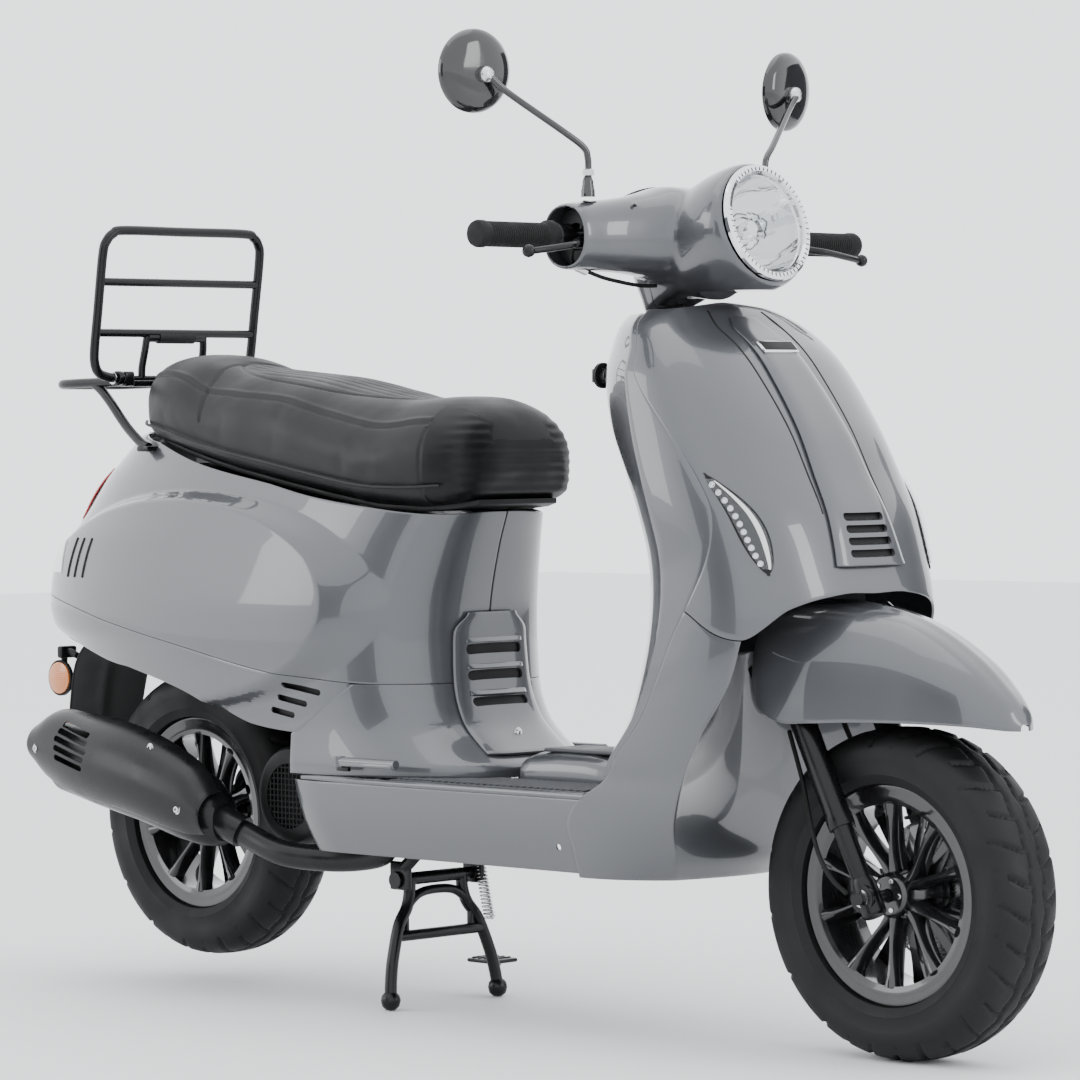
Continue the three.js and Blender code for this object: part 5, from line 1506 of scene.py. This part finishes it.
# ------------------------------------------------------------------ fork and fender
def make_fork():
    parts = []
    for side in (-1, 1):
        parts.append(turned("upper_leg", [(13.6, 318), (17, 318), (17.4, 320), (17.4, 334), (16.6, 338),
                                          (16.6, 560), (15, 562), (13.6, 562)],
                            Matrix.Translation((side * LEG_X * MM, FORK_OFFSET * MM, 0)), 40))
    parts.append(block("yoke", (-92, FORK_OFFSET - 14, 538), (92, 20, 562), 5, segments=3))
    parts.append(tube("stem", [(0, 0, 550), (0, 0, 1118)], 15, 28))
    upper = moved(joined("fork_upper_cast", *parts), STEER)
    finish(upper, "steering", "black_paint", "fork_upper")

    lower = []
    for side in (-1, 1):
        lower.append(turned("lower_leg", [(0, 204), (10, 204), (12.8, 208), (12.8, 448), (11, 450),
                                          (0, 450)],
                            Matrix.Translation((side * LEG_X * MM, FORK_OFFSET * MM, 0)), 40))
        lower.append(turned("axle_clamp", [(0, 197), (13, 197), (16, 200), (16.4, 240), (14, 248),
                                           (0, 249)],
                            Matrix.Translation((side * LEG_X * MM, FORK_OFFSET * MM, 0)), 40))
        lower.append(moved(turned("axle_boss", [(0, 84), (17, 84), (18, 86), (18, 92), (0, 92)],
                                  at(0, 0, 0, "X" if side > 0 else "-X"), 36),
                           Matrix.Translation((0, FORK_OFFSET * MM, AXLE_ALONG * MM))))
    lower.append(moved(turned("axle", [(0, -99), (8, -99), (8, 99), (0, 99)], at(0, 0, 0, "X"), 24),
                       Matrix.Translation((0, FORK_OFFSET * MM, AXLE_ALONG * MM))))
    lower.append(block("caliper_mount", (74, FORK_OFFSET + 4, 222), (86, FORK_OFFSET + 50, 255), 3))
    finish(moved(joined("fork_slider_cast", *lower), STEER), "fork", "black_paint", "fork_slider")

    body = block("caliper", (66.5, FORK_OFFSET + 19, 252), (90, FORK_OFFSET + 62, 306), 6, segments=3)
    lobe = turned("piston", [(0, 0), (15, 0), (16, 1.5), (16, 5), (13, 7), (0, 7)],
                  at(89, FORK_OFFSET + 40, 280, "X"), 40)
    finish(moved(joined("brake_caliper", body, lobe), STEER), "fork", "black_paint")
    for spot in (at(90, FORK_OFFSET + 26, 262, "X"), at(90, FORK_OFFSET + 54, 298, "X")):
        bolt("caliper_bolt", STEER @ spot, 4.5, 4, "steel", "fork")
    for side in (-1, 1):
        bolt("axle_nut", STEER @ at(side * 92.2, FORK_OFFSET, AXLE_ALONG, "X" if side > 0 else "-X"),
             7.5, 5, "steel", "fork")

    cable = tube("speedo_cable_run", [(-96, FORK_OFFSET + 16, 236), (-102, FORK_OFFSET + 26, 262),
                                      (-97, FORK_OFFSET + 36, 300), (-84, FORK_OFFSET + 40, 350),
                                      (-70, FORK_OFFSET + 42, 400), (-60, FORK_OFFSET + 42, 470)], 3, 14, 8)
    finish(moved(cable, STEER), "fork", "grip_rubber", "speedo_cable")
    hose = tube("brake_hose", [(88, FORK_OFFSET + 58, 300), (92, FORK_OFFSET + 74, 330),
                               (86, FORK_OFFSET + 70, 380),
                               (70, FORK_OFFSET + 58, 430), (56, FORK_OFFSET + 50, 500)], 3.4, 14, 8)
    finish(moved(hose, STEER), "fork", "grip_rubber")


def make_fender():
    first, last = FENDER[0][0], FENDER[-1][0]

    def surface(u, v):
        y = first + (last - first) * v ** 1.25
        half, ridge, low = row(FENDER, y)
        a, b = on_superellipse((u - 0.5) * math.pi, FENDER_POWER)
        crest = 2.2 * math.exp(-(half * a / 9.0) ** 2) if half > 20 else 0
        return np.array([half * a, y, low + (ridge - low) * b + crest])

    finish(panel("fender_skin", surface, 96, 100, 2.6, -1, 0.9), "steering", "paint", "front_fender")
    for side in (-1, 1):
        points = []
        for k in range(26):
            y = -884 + (-566 + 884) * k / 25
            half, ridge, low = row(FENDER, y)
            points.append((side * (half - 1.6), y, low + 1.6))
        finish(tube("fender_bead", points, 1.9, 8, 3, 0.6), "steering", "paint")


# ------------------------------------------------------------------ cowl
COWL_CLEAR_Y, COWL_CLEAR_Z = -400, 979


def cowl_solid():
    """The cowl's whole outer form: a bowl round the headlight, a wing to each side and a neck."""
    mouth = HEADLIGHT_RADIUS + 4
    bowl_profile = [(0, 0), (mouth, 0), (mouth + 3, 8), (mouth + 5, 26), (mouth + 4, 52), (mouth, 78),
                    (72, 112),
                    (58, 150), (42, 178), (20, 196), (0, 200)]
    bowl = turned("bowl", bowl_profile, HEADLIGHT_PLACE, 96)
    half_wing = [(50, -26, 6, 70, 62), (80, -20, 4, 58, 55), (110, -14, 3, 48, 50), (140, -7, 2, 44, 47),
                 (170, -2, 1, 42, 45), (206, 0, 0, 40, 43)]
    stations = [(-x, *rest) for x, *rest in half_wing][::-1] + half_wing
    wing = loft("wing", [ring(lambda a, b: (x, BAR_Y + y + a, BAR_Z + z + b), half_y, half_z, 2.3, 72)
                         for x, y, z, half_y, half_z in stations])
    neck_rows = [(-347, 972, 0.42, 44, 64), (-346, 988, 0.36, 48, 68), (-344, 1008, 0.28, 56, 74),
                 (-342, 1030, 0.2, 66, 80), (-344, 1060, 0, 78, 80)]
    neck = loft("neck", [ring(lambda a, b: (a, y + b, z - b * lean), half_x, half_y, 2.2, 72)
                         for y, z, lean, half_x, half_y in neck_rows])
    solid = joined("cowl_form", bowl, wing, neck)
    remesh = solid.modifiers.new("even", "REMESH")
    remesh.mode = "VOXEL"
    remesh.voxel_size = 0.003
    relax = solid.modifiers.new("relax", "CORRECTIVE_SMOOTH")
    relax.factor = 0.9
    relax.iterations = 14
    relax.use_only_smooth = True
    bake(solid, 60)
    # the bowl's underside stays clear of the shield's top when the bars turn
    for vertex in solid.data.vertices:
        if vertex.co.y < COWL_CLEAR_Y * MM and vertex.co.z < COWL_CLEAR_Z * MM:
            vertex.co.z = COWL_CLEAR_Z * MM
    return solid


def slice_mesh(piece, point, normal, keep_name):
    """The part of the piece's surface that lies on the side a plane's normal points away from."""
    shape = bmesh.new()
    shape.from_mesh(piece.data)
    geometry = shape.verts[:] + shape.edges[:] + shape.faces[:]
    bmesh.ops.bisect_plane(shape, geom=geometry, plane_co=Vector(point) * MM, plane_no=Vector(normal),
                           clear_outer=True)
    mesh = bpy.data.meshes.new(keep_name)
    shape.to_mesh(mesh)
    shape.free()
    result = bpy.data.objects.new(keep_name, mesh)
    bpy.context.scene.collection.objects.link(result)
    return result


def make_cowl():
    whole = cowl_solid()
    axis = HEADLIGHT_PLACE.to_3x3() @ Vector((0, 0, 1))
    mouth_point = Vector(HEADLIGHT) + axis * 2.0
    body = slice_mesh(whole, mouth_point, -axis, "cowl_body")
    tips = [slice_mesh(body, (203, 0, 0), (1, 0, 0), "a")]
    tips.append(slice_mesh(tips[-1], (-203, 0, 0), (-1, 0, 0), "b"))
    split = BAR_Y - 4
    front = slice_mesh(tips[-1], (0, split - 0.5, 0), (0, 1, 0), "cowl_front_shell")
    rear = slice_mesh(tips[-1], (0, split + 0.5, 0), (0, -1, 0), "cowl_rear_shell")
    for piece in (whole, body, *tips):
        bpy.data.objects.remove(piece)
    for piece, node in ((front, "cowl_front"), (rear, "cowl_rear")):
        solidify = piece.modifiers.new("shell", "SOLIDIFY")
        solidify.thickness = 0.003
        solidify.offset = -1
        solidify.use_even_offset = True
        bake(piece, 50)
        soften(piece, 0.6, 1, 60, 50)
        for side in (-1, 1):
            hole = turned("hole", [(0, -8), (11, -8), (11, 20), (0, 20)], at(side * 168, BAR_Y - 10, 1086),
                          32)
            cut(piece, hole)
        shade(piece, 50)
        finish(piece, "steering", "paint", node)
    for side in (-1, 1):
        for x, y, z in ((120, -351, 1087), (101, -352, 1023)):
            screw = turned("cowl_screw", [(0, 0), (5.5, 0), (5.5, 2), (4.6, 2.6), (0, 1.2)],
                           at(side * x, y - 12, z, "-Y"), 28)
            finish(screw, "steering", "gloss_black")
    # dark cup behind each wing's mouth: painted shade inside the open wing end
    for side in (-1, 1):
        cup = turned("wing_mouth_shade", [(18, 0), (36.5, 0), (36.5, 3), (18, 3)],
                     at(side * 178, BAR_Y, BAR_Z, "X" if side > 0 else "-X"), 48)
        finish(cup, "steering", "black_plastic")
    # instrument dial facing the rider
    dial_place = at(0, BAR_Y + 62, BAR_Z + 44, "Z", math.radians(-28))
    bezel = turned("dial_bezel", [(36, 0), (44, 0), (45, 3), (42, 8), (38, 9), (36, 6)], dial_place, 72)
    finish(bezel, "steering", "black_plastic")
    face = turned("dial_face", [(0, 0), (37, 0), (37, 4), (0, 4)], dial_place, 64)
    finish(face, "steering", "gloss_black")
    needle = block("needle", (-1, -4, 4), (1, 28, 5.2), 0.4, dial_place @ Matrix.Rotation(2.2, 4, "Z"))
    marks = [block("mark", (-0.8, 27, 3.6), (0.8, 33, 4.5), 0, dial_place @ Matrix.Rotation(a, 4, "Z"))
             for a in (k / 10 * 4.4 - 2.2 for k in range(11))]
    finish(joined("dial_marks", needle, *marks), "steering", "lamp_white")


def make_headlight():
    bowl = turned("reflector", [(0, 92), (12, 91), (26, 88), (44, 72), (58, 52), (66, 30), (70, 8),
                                (72.5, 4), (71, 2),
                                (67, 6), (63, 28), (55, 49), (41, 68), (24, 84), (10, 86.5), (0, 87)],
                  HEADLIGHT_PLACE, 96)
    finish(bowl, "steering", "chrome", "headlight_unit")
    bulb = turned("bulb", [(0, 30), (4, 31), (7.5, 36), (8, 50), (7, 84), (0, 84)], HEADLIGHT_PLACE, 32)
    finish(bulb, "steering", "lamp_white")
    shade_cap = turned("bulb_shade", [(0, 22), (10, 23), (12, 27), (12, 38), (10.8, 38), (10.6, 28),
                                      (0, 26)],
                       HEADLIGHT_PLACE, 40)
    finish(shade_cap, "steering", "mirror_glass")
    rim_ring = turned("light_rim", [(66, 1), (76.6, 1), (78, -2), (77, -6), (73, -8.5), (68.5, -8),
                                    (66, -4)],
                      HEADLIGHT_PLACE, 128)
    ticks = []
    for k in range(60):
        turn = Matrix.Rotation(k / 60 * math.tau, 4, "Z")
        ticks.append(block("tick", (69, -0.6, -8.9), (73.5, 0.6, -7.6), 0, HEADLIGHT_PLACE @ turn))
    finish(rim_ring, "steering", "mirror_glass")
    finish(joined("light_ticks", *ticks), "steering", "gloss_black")
    lens = turned("lens", [(0, -17.8), (20, -17.4), (40, -15.6), (56, -12.4), (66, -8.5), (69, -6.5),
                           (69, -4.5),
                           (64, -7), (54, -10.4), (38, -13.6), (20, -15.2), (0, -15.6)], HEADLIGHT_PLACE,
                           96)
    finish(lens, "steering", "clear_lens", "headlight_lens")


# ------------------------------------------------------------------ handlebar, levers and mirrors
def make_handlebar():
    parts = [tube("bar", [(-350, BAR_Y, BAR_Z), (350, BAR_Y, BAR_Z)], BAR_RADIUS, 28)]
    for side in (-1, 1):
        along = "X" if side > 0 else "-X"
        parts.append(turned("pod", [(0, 0), (15, 0), (17, 2), (17, 23), (15, 25), (0, 25)],
                            at(side * 196.6, BAR_Y, BAR_Z, along), 40))
        top = block("perch_top", (side * 186 - 12, BAR_Y - 34, BAR_Z + 0.4),
                    (side * 186 + 12, BAR_Y, BAR_Z + 5), 1.6)
        low = block("perch_low", (side * 186 - 12, BAR_Y - 34, BAR_Z - 17),
                    (side * 186 + 12, BAR_Y, BAR_Z - 12.4), 1.6)
        parts += [top, low]
        parts.append(tube("boss", [(side * 168, BAR_Y, BAR_Z), (side * 168, BAR_Y - 10, 1096)], 7, 20))
    parts.append(tube("clamp", [(0, BAR_Y, BAR_Z), (0, stem_y(1012) + 1, 1012)], 17.5, 28))
    finish(joined("handlebar_tube", *parts), "steering", "black_paint", "handlebar")
    for side, body, node in ((1, "steering", "left_grip"), (-1, "throttle", "throttle_grip")):
        profile = [(11.6, 0), (19, 0), (20, 1.5), (20, 9), (18.5, 11), (16.2, 14)]
        rings_count = 26
        for k in range(rings_count):
            x = 17 + 100 * k / rings_count
            profile += [(16.4, x), (16.4, x + 2.0), (15.5, x + 2.6), (15.5, x + 3.4)]
        profile += [(16.2, 119), (17.6, 123), (17.6, 131), (16, 135), (12, 136), (0, 136), (0, 125),
                    (11.6, 125)]
        grip = turned("grip_ribbed", profile, at(side * 226, BAR_Y, BAR_Z, "X" if side > 0 else "-X"), 48)
        finish(grip, body, "grip_rubber", node)
        blade = tube("lever", [(side * 180, BAR_Y - 26, BAR_Z - 6), (side * 206, BAR_Y - 29, BAR_Z - 7),
                               (side * 226, BAR_Y - 44, BAR_Z - 11), (side * 244, BAR_Y - 55, BAR_Z - 14),
                               (side * 280, BAR_Y - 56, BAR_Z - 19), (side * 312, BAR_Y - 52, BAR_Z - 23)],
                     [6, 5.6, 5, 4.6, 4.4, 4.2], 18, 8)
        ball = turned("ball", [(0, -8.5), (4.6, -7.2), (7.4, -4.2), (8.5, 0), (7.4, 4.2), (4.6, 7.2),
                               (0, 8.5)],
                      at(side * 318, BAR_Y - 52, BAR_Z - 23, "X"), 28)
        eye = turned("eye", [(0, -5.6), (9, -5.6), (9, 5.6), (0, 5.6)],
                     at(side * 186, BAR_Y - 26, BAR_Z - 6), 28)
        finish(joined("brake_lever", blade, ball, eye), f"brake_lever_{'left' if side > 0 else 'right'}",
               "black_paint", f"brake_lever_{'left' if side > 0 else 'right'}")
    for side, name in ((-1, "start_button"), (1, "horn_button")):
        push = block("push", (side * 209 - 4, BAR_Y + 16.4, BAR_Z - 3),
                     (side * 209 + 4, BAR_Y + 26, BAR_Z + 7), 1.6)
        finish(push, name, "amber" if name == "horn_button" else "black_plastic", name)
    slider = block("slider", (206, BAR_Y + 13, BAR_Z + 10), (212, BAR_Y + 26, BAR_Z + 17), 1.2)
    finish(slider, "signal_switch", "black_plastic", "signal_switch")
    cable = tube("throttle_cable", [(-198, BAR_Y - 12, BAR_Z - 12), (-190, BAR_Y - 4, BAR_Z - 34),
                                    (-150, BAR_Y - 8, BAR_Z - 50), (-110, BAR_Y - 12, BAR_Z - 58),
                                    (-78, BAR_Y - 16, BAR_Z - 62), (-54, BAR_Y - 22, BAR_Z - 62)], 2.6, 12,
                                    8)
    sleeve = tube("cable_adjuster", [(-186, BAR_Y - 4, BAR_Z - 40), (-168, BAR_Y - 6, BAR_Z - 46)], 4.6, 6)
    finish(cable, "steering", "grip_rubber")
    finish(sleeve, "steering", "steel")


def make_mirrors():
    base_y = BAR_Y - 10
    for side in (-1, 1):
        body = f"mirror_{'left' if side > 0 else 'right'}"
        x, y, z = MIRROR
        stem = tube("stem", [(side * 168, base_y, 1104), (side * 168, base_y - 1, 1136),
                             (side * 169.5, base_y - 1.5, 1152), (side * 175, base_y, 1165),
                             (side * 200, base_y + 10, 1184), (side * (x - 30), y - 22, z - 28),
                             (side * (x - 6), y - 14, z - 8)], 4.5, 18, 6)
        boot = turned("boot", [(0, 0), (9.2, 0), (9.2, 9), (8.2, 11), (8.2, 14), (7.4, 16), (7.4, 20),
                               (5.4, 26),
                               (4.4, 27), (0, 27)], at(side * 168, base_y, 1101), 32)
        nut = turned("nut", [(4.4, 0), (8, 0), (8, 7), (7, 8), (4.4, 8)],
                     at(side * 168, base_y - 0.6, 1129), 6)
        tilt = (Matrix.Translation(Vector((side * x, y + 4, z)) * MM)
                @ Matrix.Rotation(side * 0.16, 4, "Z") @ Matrix.Rotation(0.06, 4, "X")
                @ Matrix.Rotation(-math.pi / 2, 4, "X"))
        shell = turned("shell", [(0, -9), (12, -8.9), (24, -8.3), (36, -6.8), (46, -3.6), (52, 0.6),
                                 (54, 5), (54, 9),
                                 (52, 9.6), (51, 8), (50, 7.4), (0, 7.4)], tilt, 96)
        finish(joined(f"{body}_shell", stem, shell, boot), body, "gloss_black", body)
        glass = turned("glass", [(0, 7.6), (49.8, 7.6), (49.6, 8.4), (0, 8.9)], tilt, 96)
        finish(glass, body, "mirror_glass")
        ball = turned("joint", [(0, -13), (6, -12), (10, -8), (11, -3), (9, 2), (0, 3)],
                      Matrix.Translation(Vector((side * (x - 4), y - 6, z - 5)) * MM)
                      @ Matrix.Rotation(-math.pi / 2, 4, "X"), 32)
        finish(joined(f"{body}_joint", ball, nut), body, "steel")


# ------------------------------------------------------------------ engine
def make_engine():
    def cvt_ring(x, half_z, half_y):
        return ring(lambda a, b: (x, 452 + b, 268 + a), half_z, half_y, 3, 64)

    cvt = soften(loft("drive_case", [cvt_ring(78, 58, 220), cvt_ring(84, 60, 222), cvt_ring(138, 60, 222),
                                     cvt_ring(147, 56, 217), cvt_ring(151, 48, 206)]), 1.5, 2, 30)
    ribs = [block("rib", (150, 300 + 26 * k, 236), (153.5, 305 + 26 * k, 300), 1) for k in range(12)]
    crank = turned("crankcase", [(0, -66), (62, -66), (66, -62), (66, 86), (62, 90), (0, 90)],
                   at(0, 300, 274, "X"), 72)
    fins = []
    for k in range(7):
        y = 150 + 9 * k
        fins.append(block("fin", (-44, y, 226), (60, y + 3.2, 322), 1.2))
    head = block("head", (-40, 146, 232), (56, 216, 316), 4)
    parts = [cvt, crank, head, *fins, *ribs]
    for side in (-1, 1):
        parts.append(block("lug", (side * 57 - 9, 190, 286), (side * 57 + 9, 262, 318), 3))
    parts.append(tube("pin", [(-66, *ENGINE_PIVOT[1:]), (66, *ENGINE_PIVOT[1:])], 9, 20))
    parts.append(tube("axle", [(-66, *REAR_AXLE[1:]), (110, *REAR_AXLE[1:])], 9, 24))
    parts.append(block("shock_boss", (98, 596, 318), (122, 626, 345), 3))
    finish(joined("engine_cast", *parts), "engine", "engine_alloy", "engine_case")

    fan = turned("fan_cover", [(0, -69.8), (70, -69.8), (70, -118), (66, -125), (58, -128), (46, -128),
                               (46, -112),
                               (0, -112)], at(0, 316, 290, "X"), 72)
    duct = block("duct", (-112, 150, 250), (-70.4, 300, 328), 6, segments=3)
    finish(joined("fan_shroud", fan, duct), "engine", "black_plastic", "engine_shroud")
    mesh_parts = []
    for k in range(-5, 6):
        reach = math.sqrt(46 ** 2 - (8 * k) ** 2)
        mesh_parts.append(tube("wire", [(-126, 316 + 8 * k, 290 - reach), (-126, 316 + 8 * k, 290 + reach)],
                               1.3, 6))
        mesh_parts.append(tube("wire", [(-126, 316 - reach, 290 + 8 * k), (-126, 316 + reach, 290 + 8 * k)],
                               1.3, 6))
    finish(joined("fan_grille", *mesh_parts), "engine", "black_plastic")
    blades = []
    for k in range(14):
        turn = Matrix.Rotation(k / 14 * math.tau, 4, "Z")
        blades.append(block("blade", (12, -1.2, 112), (43, 1.2, 120), 0.5, at(0, 316, 290, "-X") @ turn
                            @ Matrix.Rotation(0.5, 4, "X")))
    finish(joined("fan_blades", *blades), "engine", "engine_alloy")

    stations = [(772, -178, 336, 20, 23), (768, -178, 336, 28, 32), (758, -178, 335, 36, 43),
                (740, -178, 332, 42, 52),
                (650, -177, 316, 45, 55), (560, -176, 300, 46, 56), (480, -174, 278, 44, 54),
                (440, -172, 266, 41, 49), (418, -168, 256, 33, 39), (408, -166, 252, 24, 28)]
    can = loft("silencer", [ring(lambda a, b: (x + a, y, z + b), half_x, half_z, 2.4, 60)
                            for y, x, z, half_x, half_z in stations])
    pipe = tube("pipe", [(-166, 420, 254), (-162, 396, 244), (-156, 366, 232), (-148, 306, 212),
                         (-122, 240, 206),
                         (-101, 190, 209), (-92, 160, 218), (-92, 152, 239)], 18, 24, 7)
    collar = tube("collar", [(-168, 418, 255), (-164, 396, 246), (-159, 378, 238)], 23, 28)
    tip = turned("tip", [(6, 0), (9, 0), (9, 24), (6, 24)], at(-168, 762, 306, "Y"), 28)
    finish(joined("exhaust_body", can, pipe, collar, tip), "engine", "heat_black", "exhaust")

    shield_rows = [[400, 262, 34], [440, 278, 56], [560, 312, 66], [690, 332, 64], [750, 344, 54],
                   [784, 350, 30]]

    def cover(u, v, grow=0.0):
        y = 400 + 384 * v
        angle = math.radians(-45 + 130 * u)
        reach = 66 * (0.68 + 0.32 * math.sin(math.pi * v)) + grow
        middle, half = row(shield_rows, y)
        return np.array([-178 - reach * math.cos(angle), y, middle + half * math.sin(angle)])

    guard = panel("heat_guard", cover, 44, 80, 2, 1, 0.8)
    tools = []
    for k in range(5):
        centre = cover(0.34 + 0.088 * k, 0.70)
        tools.append(slot_tool(centre, (0, 1, 0.22), (1, 0, 0), 86 - 7 * abs(k - 2), 8, 40))
    cut(guard, *tools)
    finish(guard, "engine", "heat_black", "heat_shield")
    for u, v in ((0.30, 0.10), (0.78, 0.30), (0.34, 0.93)):
        spot = Vector(cover(u, v, 0.5))
        bolt("shield_bolt", at(*spot, "-X"), 4.6, 3.2, "steel", "engine")

    air = [ring(lambda a, b: (x, 470 + b, 372 + a), half_z, half_y, 4, 60)
           for x, half_z, half_y in ((88, 34, 104), (144, 34, 104), (152, 31, 100), (156, 25, 92))]
    box_body = soften(loft("air_box_body", air), 2, 2, 30)
    lines = [block("line", (155, 400 + 34 * k, 352), (158, 404 + 34 * k, 392), 1) for k in range(5)]
    finish(joined("air_box_moulding", box_body, *lines), "engine", "black_plastic", "air_box")

    arm = tube("arm", [(164, 300, 262), (170, 320, 254), (173, 360, 232), (174, 420, 206), (172, 470, 196)],
               7, 20)
    pedal = tube("pedal", [(166, 470, 196), (206, 476, 196)], 9, 22)
    ridges = [turned("ridge", [(8.6, 0), (10, 0.6), (10, 2.4), (8.6, 3)],
                     at(176 + 6 * k, 472 + 0.9 * k, 196, "X"), 24)
              for k in range(5)]
    boss = turned("boss", [(0, 0), (13, 0), (13, 17), (11, 19), (0, 19)], at(153, 300, 262, "X"), 36)
    finish(joined("kick_lever_arm", arm, pedal, boss, *ridges), "kick_lever", "black_paint", "kick_lever")


SHOCK_X, SHOCK_Y = 110, 611


def make_shock():
    can = turned("damper", [(12, 470), (15, 470), (15, 560), (27, 562), (27, 569), (15, 571), (15, 604),
                            (12, 606),
                            (0, 606), (0, 596), (12, 596)], at(SHOCK_X, SHOCK_Y, 0), 40)
    eye = block("eye", (SHOCK_X - 10, SHOCK_Y - 12, 600), (SHOCK_X + 10, SHOCK_Y + 12, 639), 4)
    finish(joined("damper_body", can, eye), "shock_upper", "alloy", "shock_damper")
    shaft = turned("shaft", [(0, 347), (7, 347), (7, 376), (26, 378), (26, 387), (5, 389), (5, 500),
                             (0, 500)],
                   at(SHOCK_X, SHOCK_Y, 0), 40)
    finish(shaft, "shock_lower", "steel", "shock_rod")
    turns, per_turn = 6.5, 26
    coil = []
    count = int(turns * per_turn)
    for k in range(count + 1):
        angle = k / per_turn * math.tau
        height = 392 + (557 - 392) * k / count
        coil.append((SHOCK_X + 21 * math.cos(angle), SHOCK_Y + 21 * math.sin(angle), height))
    spring = tube("spring_coil", coil, 3.4, 12, 1, 1)
    finish(spring, "shock_upper", "black_paint", "shock_spring")
    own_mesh(spring)


# ------------------------------------------------------------------ small moving pieces
def make_small_parts():
    for side, name in ((-1, "footpeg_right"), (1, "footpeg_left")):
        hinge = turned("hinge", [(0, 0), (8, 0), (8, 14), (0, 14)], at(side * 201, 128, 345), 28)
        peg = tube("peg", [(side * 201, 124, 352), (side * 201, 14, 352)], 6.4, 22)
        foot = block("foot", (side * 201 - 7, 16, 346), (side * 201 + 7, 122, 352), 2.4)
        ridges = [block("ridge", (side * 201 - 6, 24 + 9 * k, 351), (side * 201 + 6, 28 + 9 * k, 353.4),
                        0.8)
                  for k in range(10)]
        finish(joined(f"{name}_bar", hinge, peg, foot, *ridges), name, "paint", name)
        bracket = block("peg_bracket", (side * 192 - 4, 116, 338), (side * 192 + 2, 140, 344.4), 1.4)
        finish(bracket, "chassis", "black_paint")
    barrel = turned("barrel", [(0, 0), (9, 0), (9, 16), (7.5, 18), (0, 18)], at(-62, -258, 872, "Y"), 32)
    bow = block("bow", (-64, -243, 863), (-60, -228, 881), 1.6, segments=3)
    finish(joined("ignition_barrel", barrel, bow), "ignition", "engine_steel", "ignition_key")
    surround = turned("ignition_ring", [(9.8, 0), (17, 0), (17, 5), (14, 8), (9.8, 8)],
                      at(-62, -250, 872, "Y"), 40)
    finish(surround, "chassis", "black_plastic")


def make_frame():
    low, high = 640, 905
    along = (high - low) / math.cos(RAKE)
    head_place = Matrix.Translation(Vector((0, stem_y(low), low)) * MM) @ Matrix.Rotation(-RAKE, 4, "X")
    parts = [turned("head_tube", [(19, 0), (27, 0), (28.5, 2), (28.5, 14), (27, 16), (27, along - 16),
                                  (28.5, along - 14), (28.5, along - 2), (27, along), (19, along)],
                                  head_place, 48)]
    parts.append(tube("down_tube", [(0, stem_y(720) + 24, 720), (0, -392, 560), (0, -400, 420),
                                    (0, -388, 332),
                                    (0, -340, 288), (0, -200, 288), (0, 66, 288)], 20, 28, 7))
    for side in (-1, 1):
        parts.append(tube("rail", [(side * 14, 40, 288), (side * 70, 90, 294), (side * 108, 130, 350),
                                   (side * 112, 170, 520), (side * 114, 260, 640), (side * 110, 440, 690),
                                   (side * 92, 620, 738), (side * 56, 690, 748)], 13, 20, 7))
        parts.append(tube("strut", [(side * 70, 140, 196), (side * 62, 100, 234), (side * 30, 62, 284)], 9,
                          18, 5))
        parts.append(block("stand_plate", (side * 70 - 3.5, 128, 164), (side * 70 + 3.5, 168, 204), 3,
                           segments=3))
        parts.append(tube("stand_boss", [(side * 66, *STAND_PIVOT[1:]), (side * 79, *STAND_PIVOT[1:])], 12,
                          28))
        parts.append(block("hanger", (side * 40 - 4, 186, 284), (side * 40 + 4, 228, 336), 3))
        parts.append(tube("hanger_arm", [(side * 40, 205, 330), (side * 106, 145, 384)], 9, 18))
    parts.append(tube("brace", [(-66, 116, 218), (66, 116, 218)], 8, 18))
    for y, height, reach in ((440, 690, 112), (690, 748, 56), (150, 412, 108)):
        parts.append(tube("cross", [(-reach, y, height), (reach, y, height)], 10, 18))
    parts.append(block("shock_ear", (96, 592, 641), (124, 630, 700), 3))
    parts.append(block("shock_arm", (84, 594, 690), (107, 628, 738), 3))
    finish(joined("frame_tubes", *parts), "chassis", "black_paint", "frame")


def make_hidden_parts():
    """The seat bucket and the fuel tank keep their own meshes and take a finished material."""
    for node in ("seat_bucket", "fuel_tank"):
        piece = NODES[node]
        piece.data.materials.clear()
        piece.data.materials.append(LOOKS["black_plastic"].material)


make_leg_shield()
make_inner_shield()
make_centre_cover()
make_front_signals()
make_lower_front()
make_floor()
make_side_skirts()
make_under_seat()
make_side_panels()
make_trims()
make_tail()
make_rear_mudguard()
make_seat()
make_rack()
make_stand()
make_wheels()
make_fork()
make_fender()
make_cowl()
make_headlight()
make_handlebar()
make_mirrors()
make_engine()
make_shock()
make_small_parts()
make_frame()
make_hidden_parts()
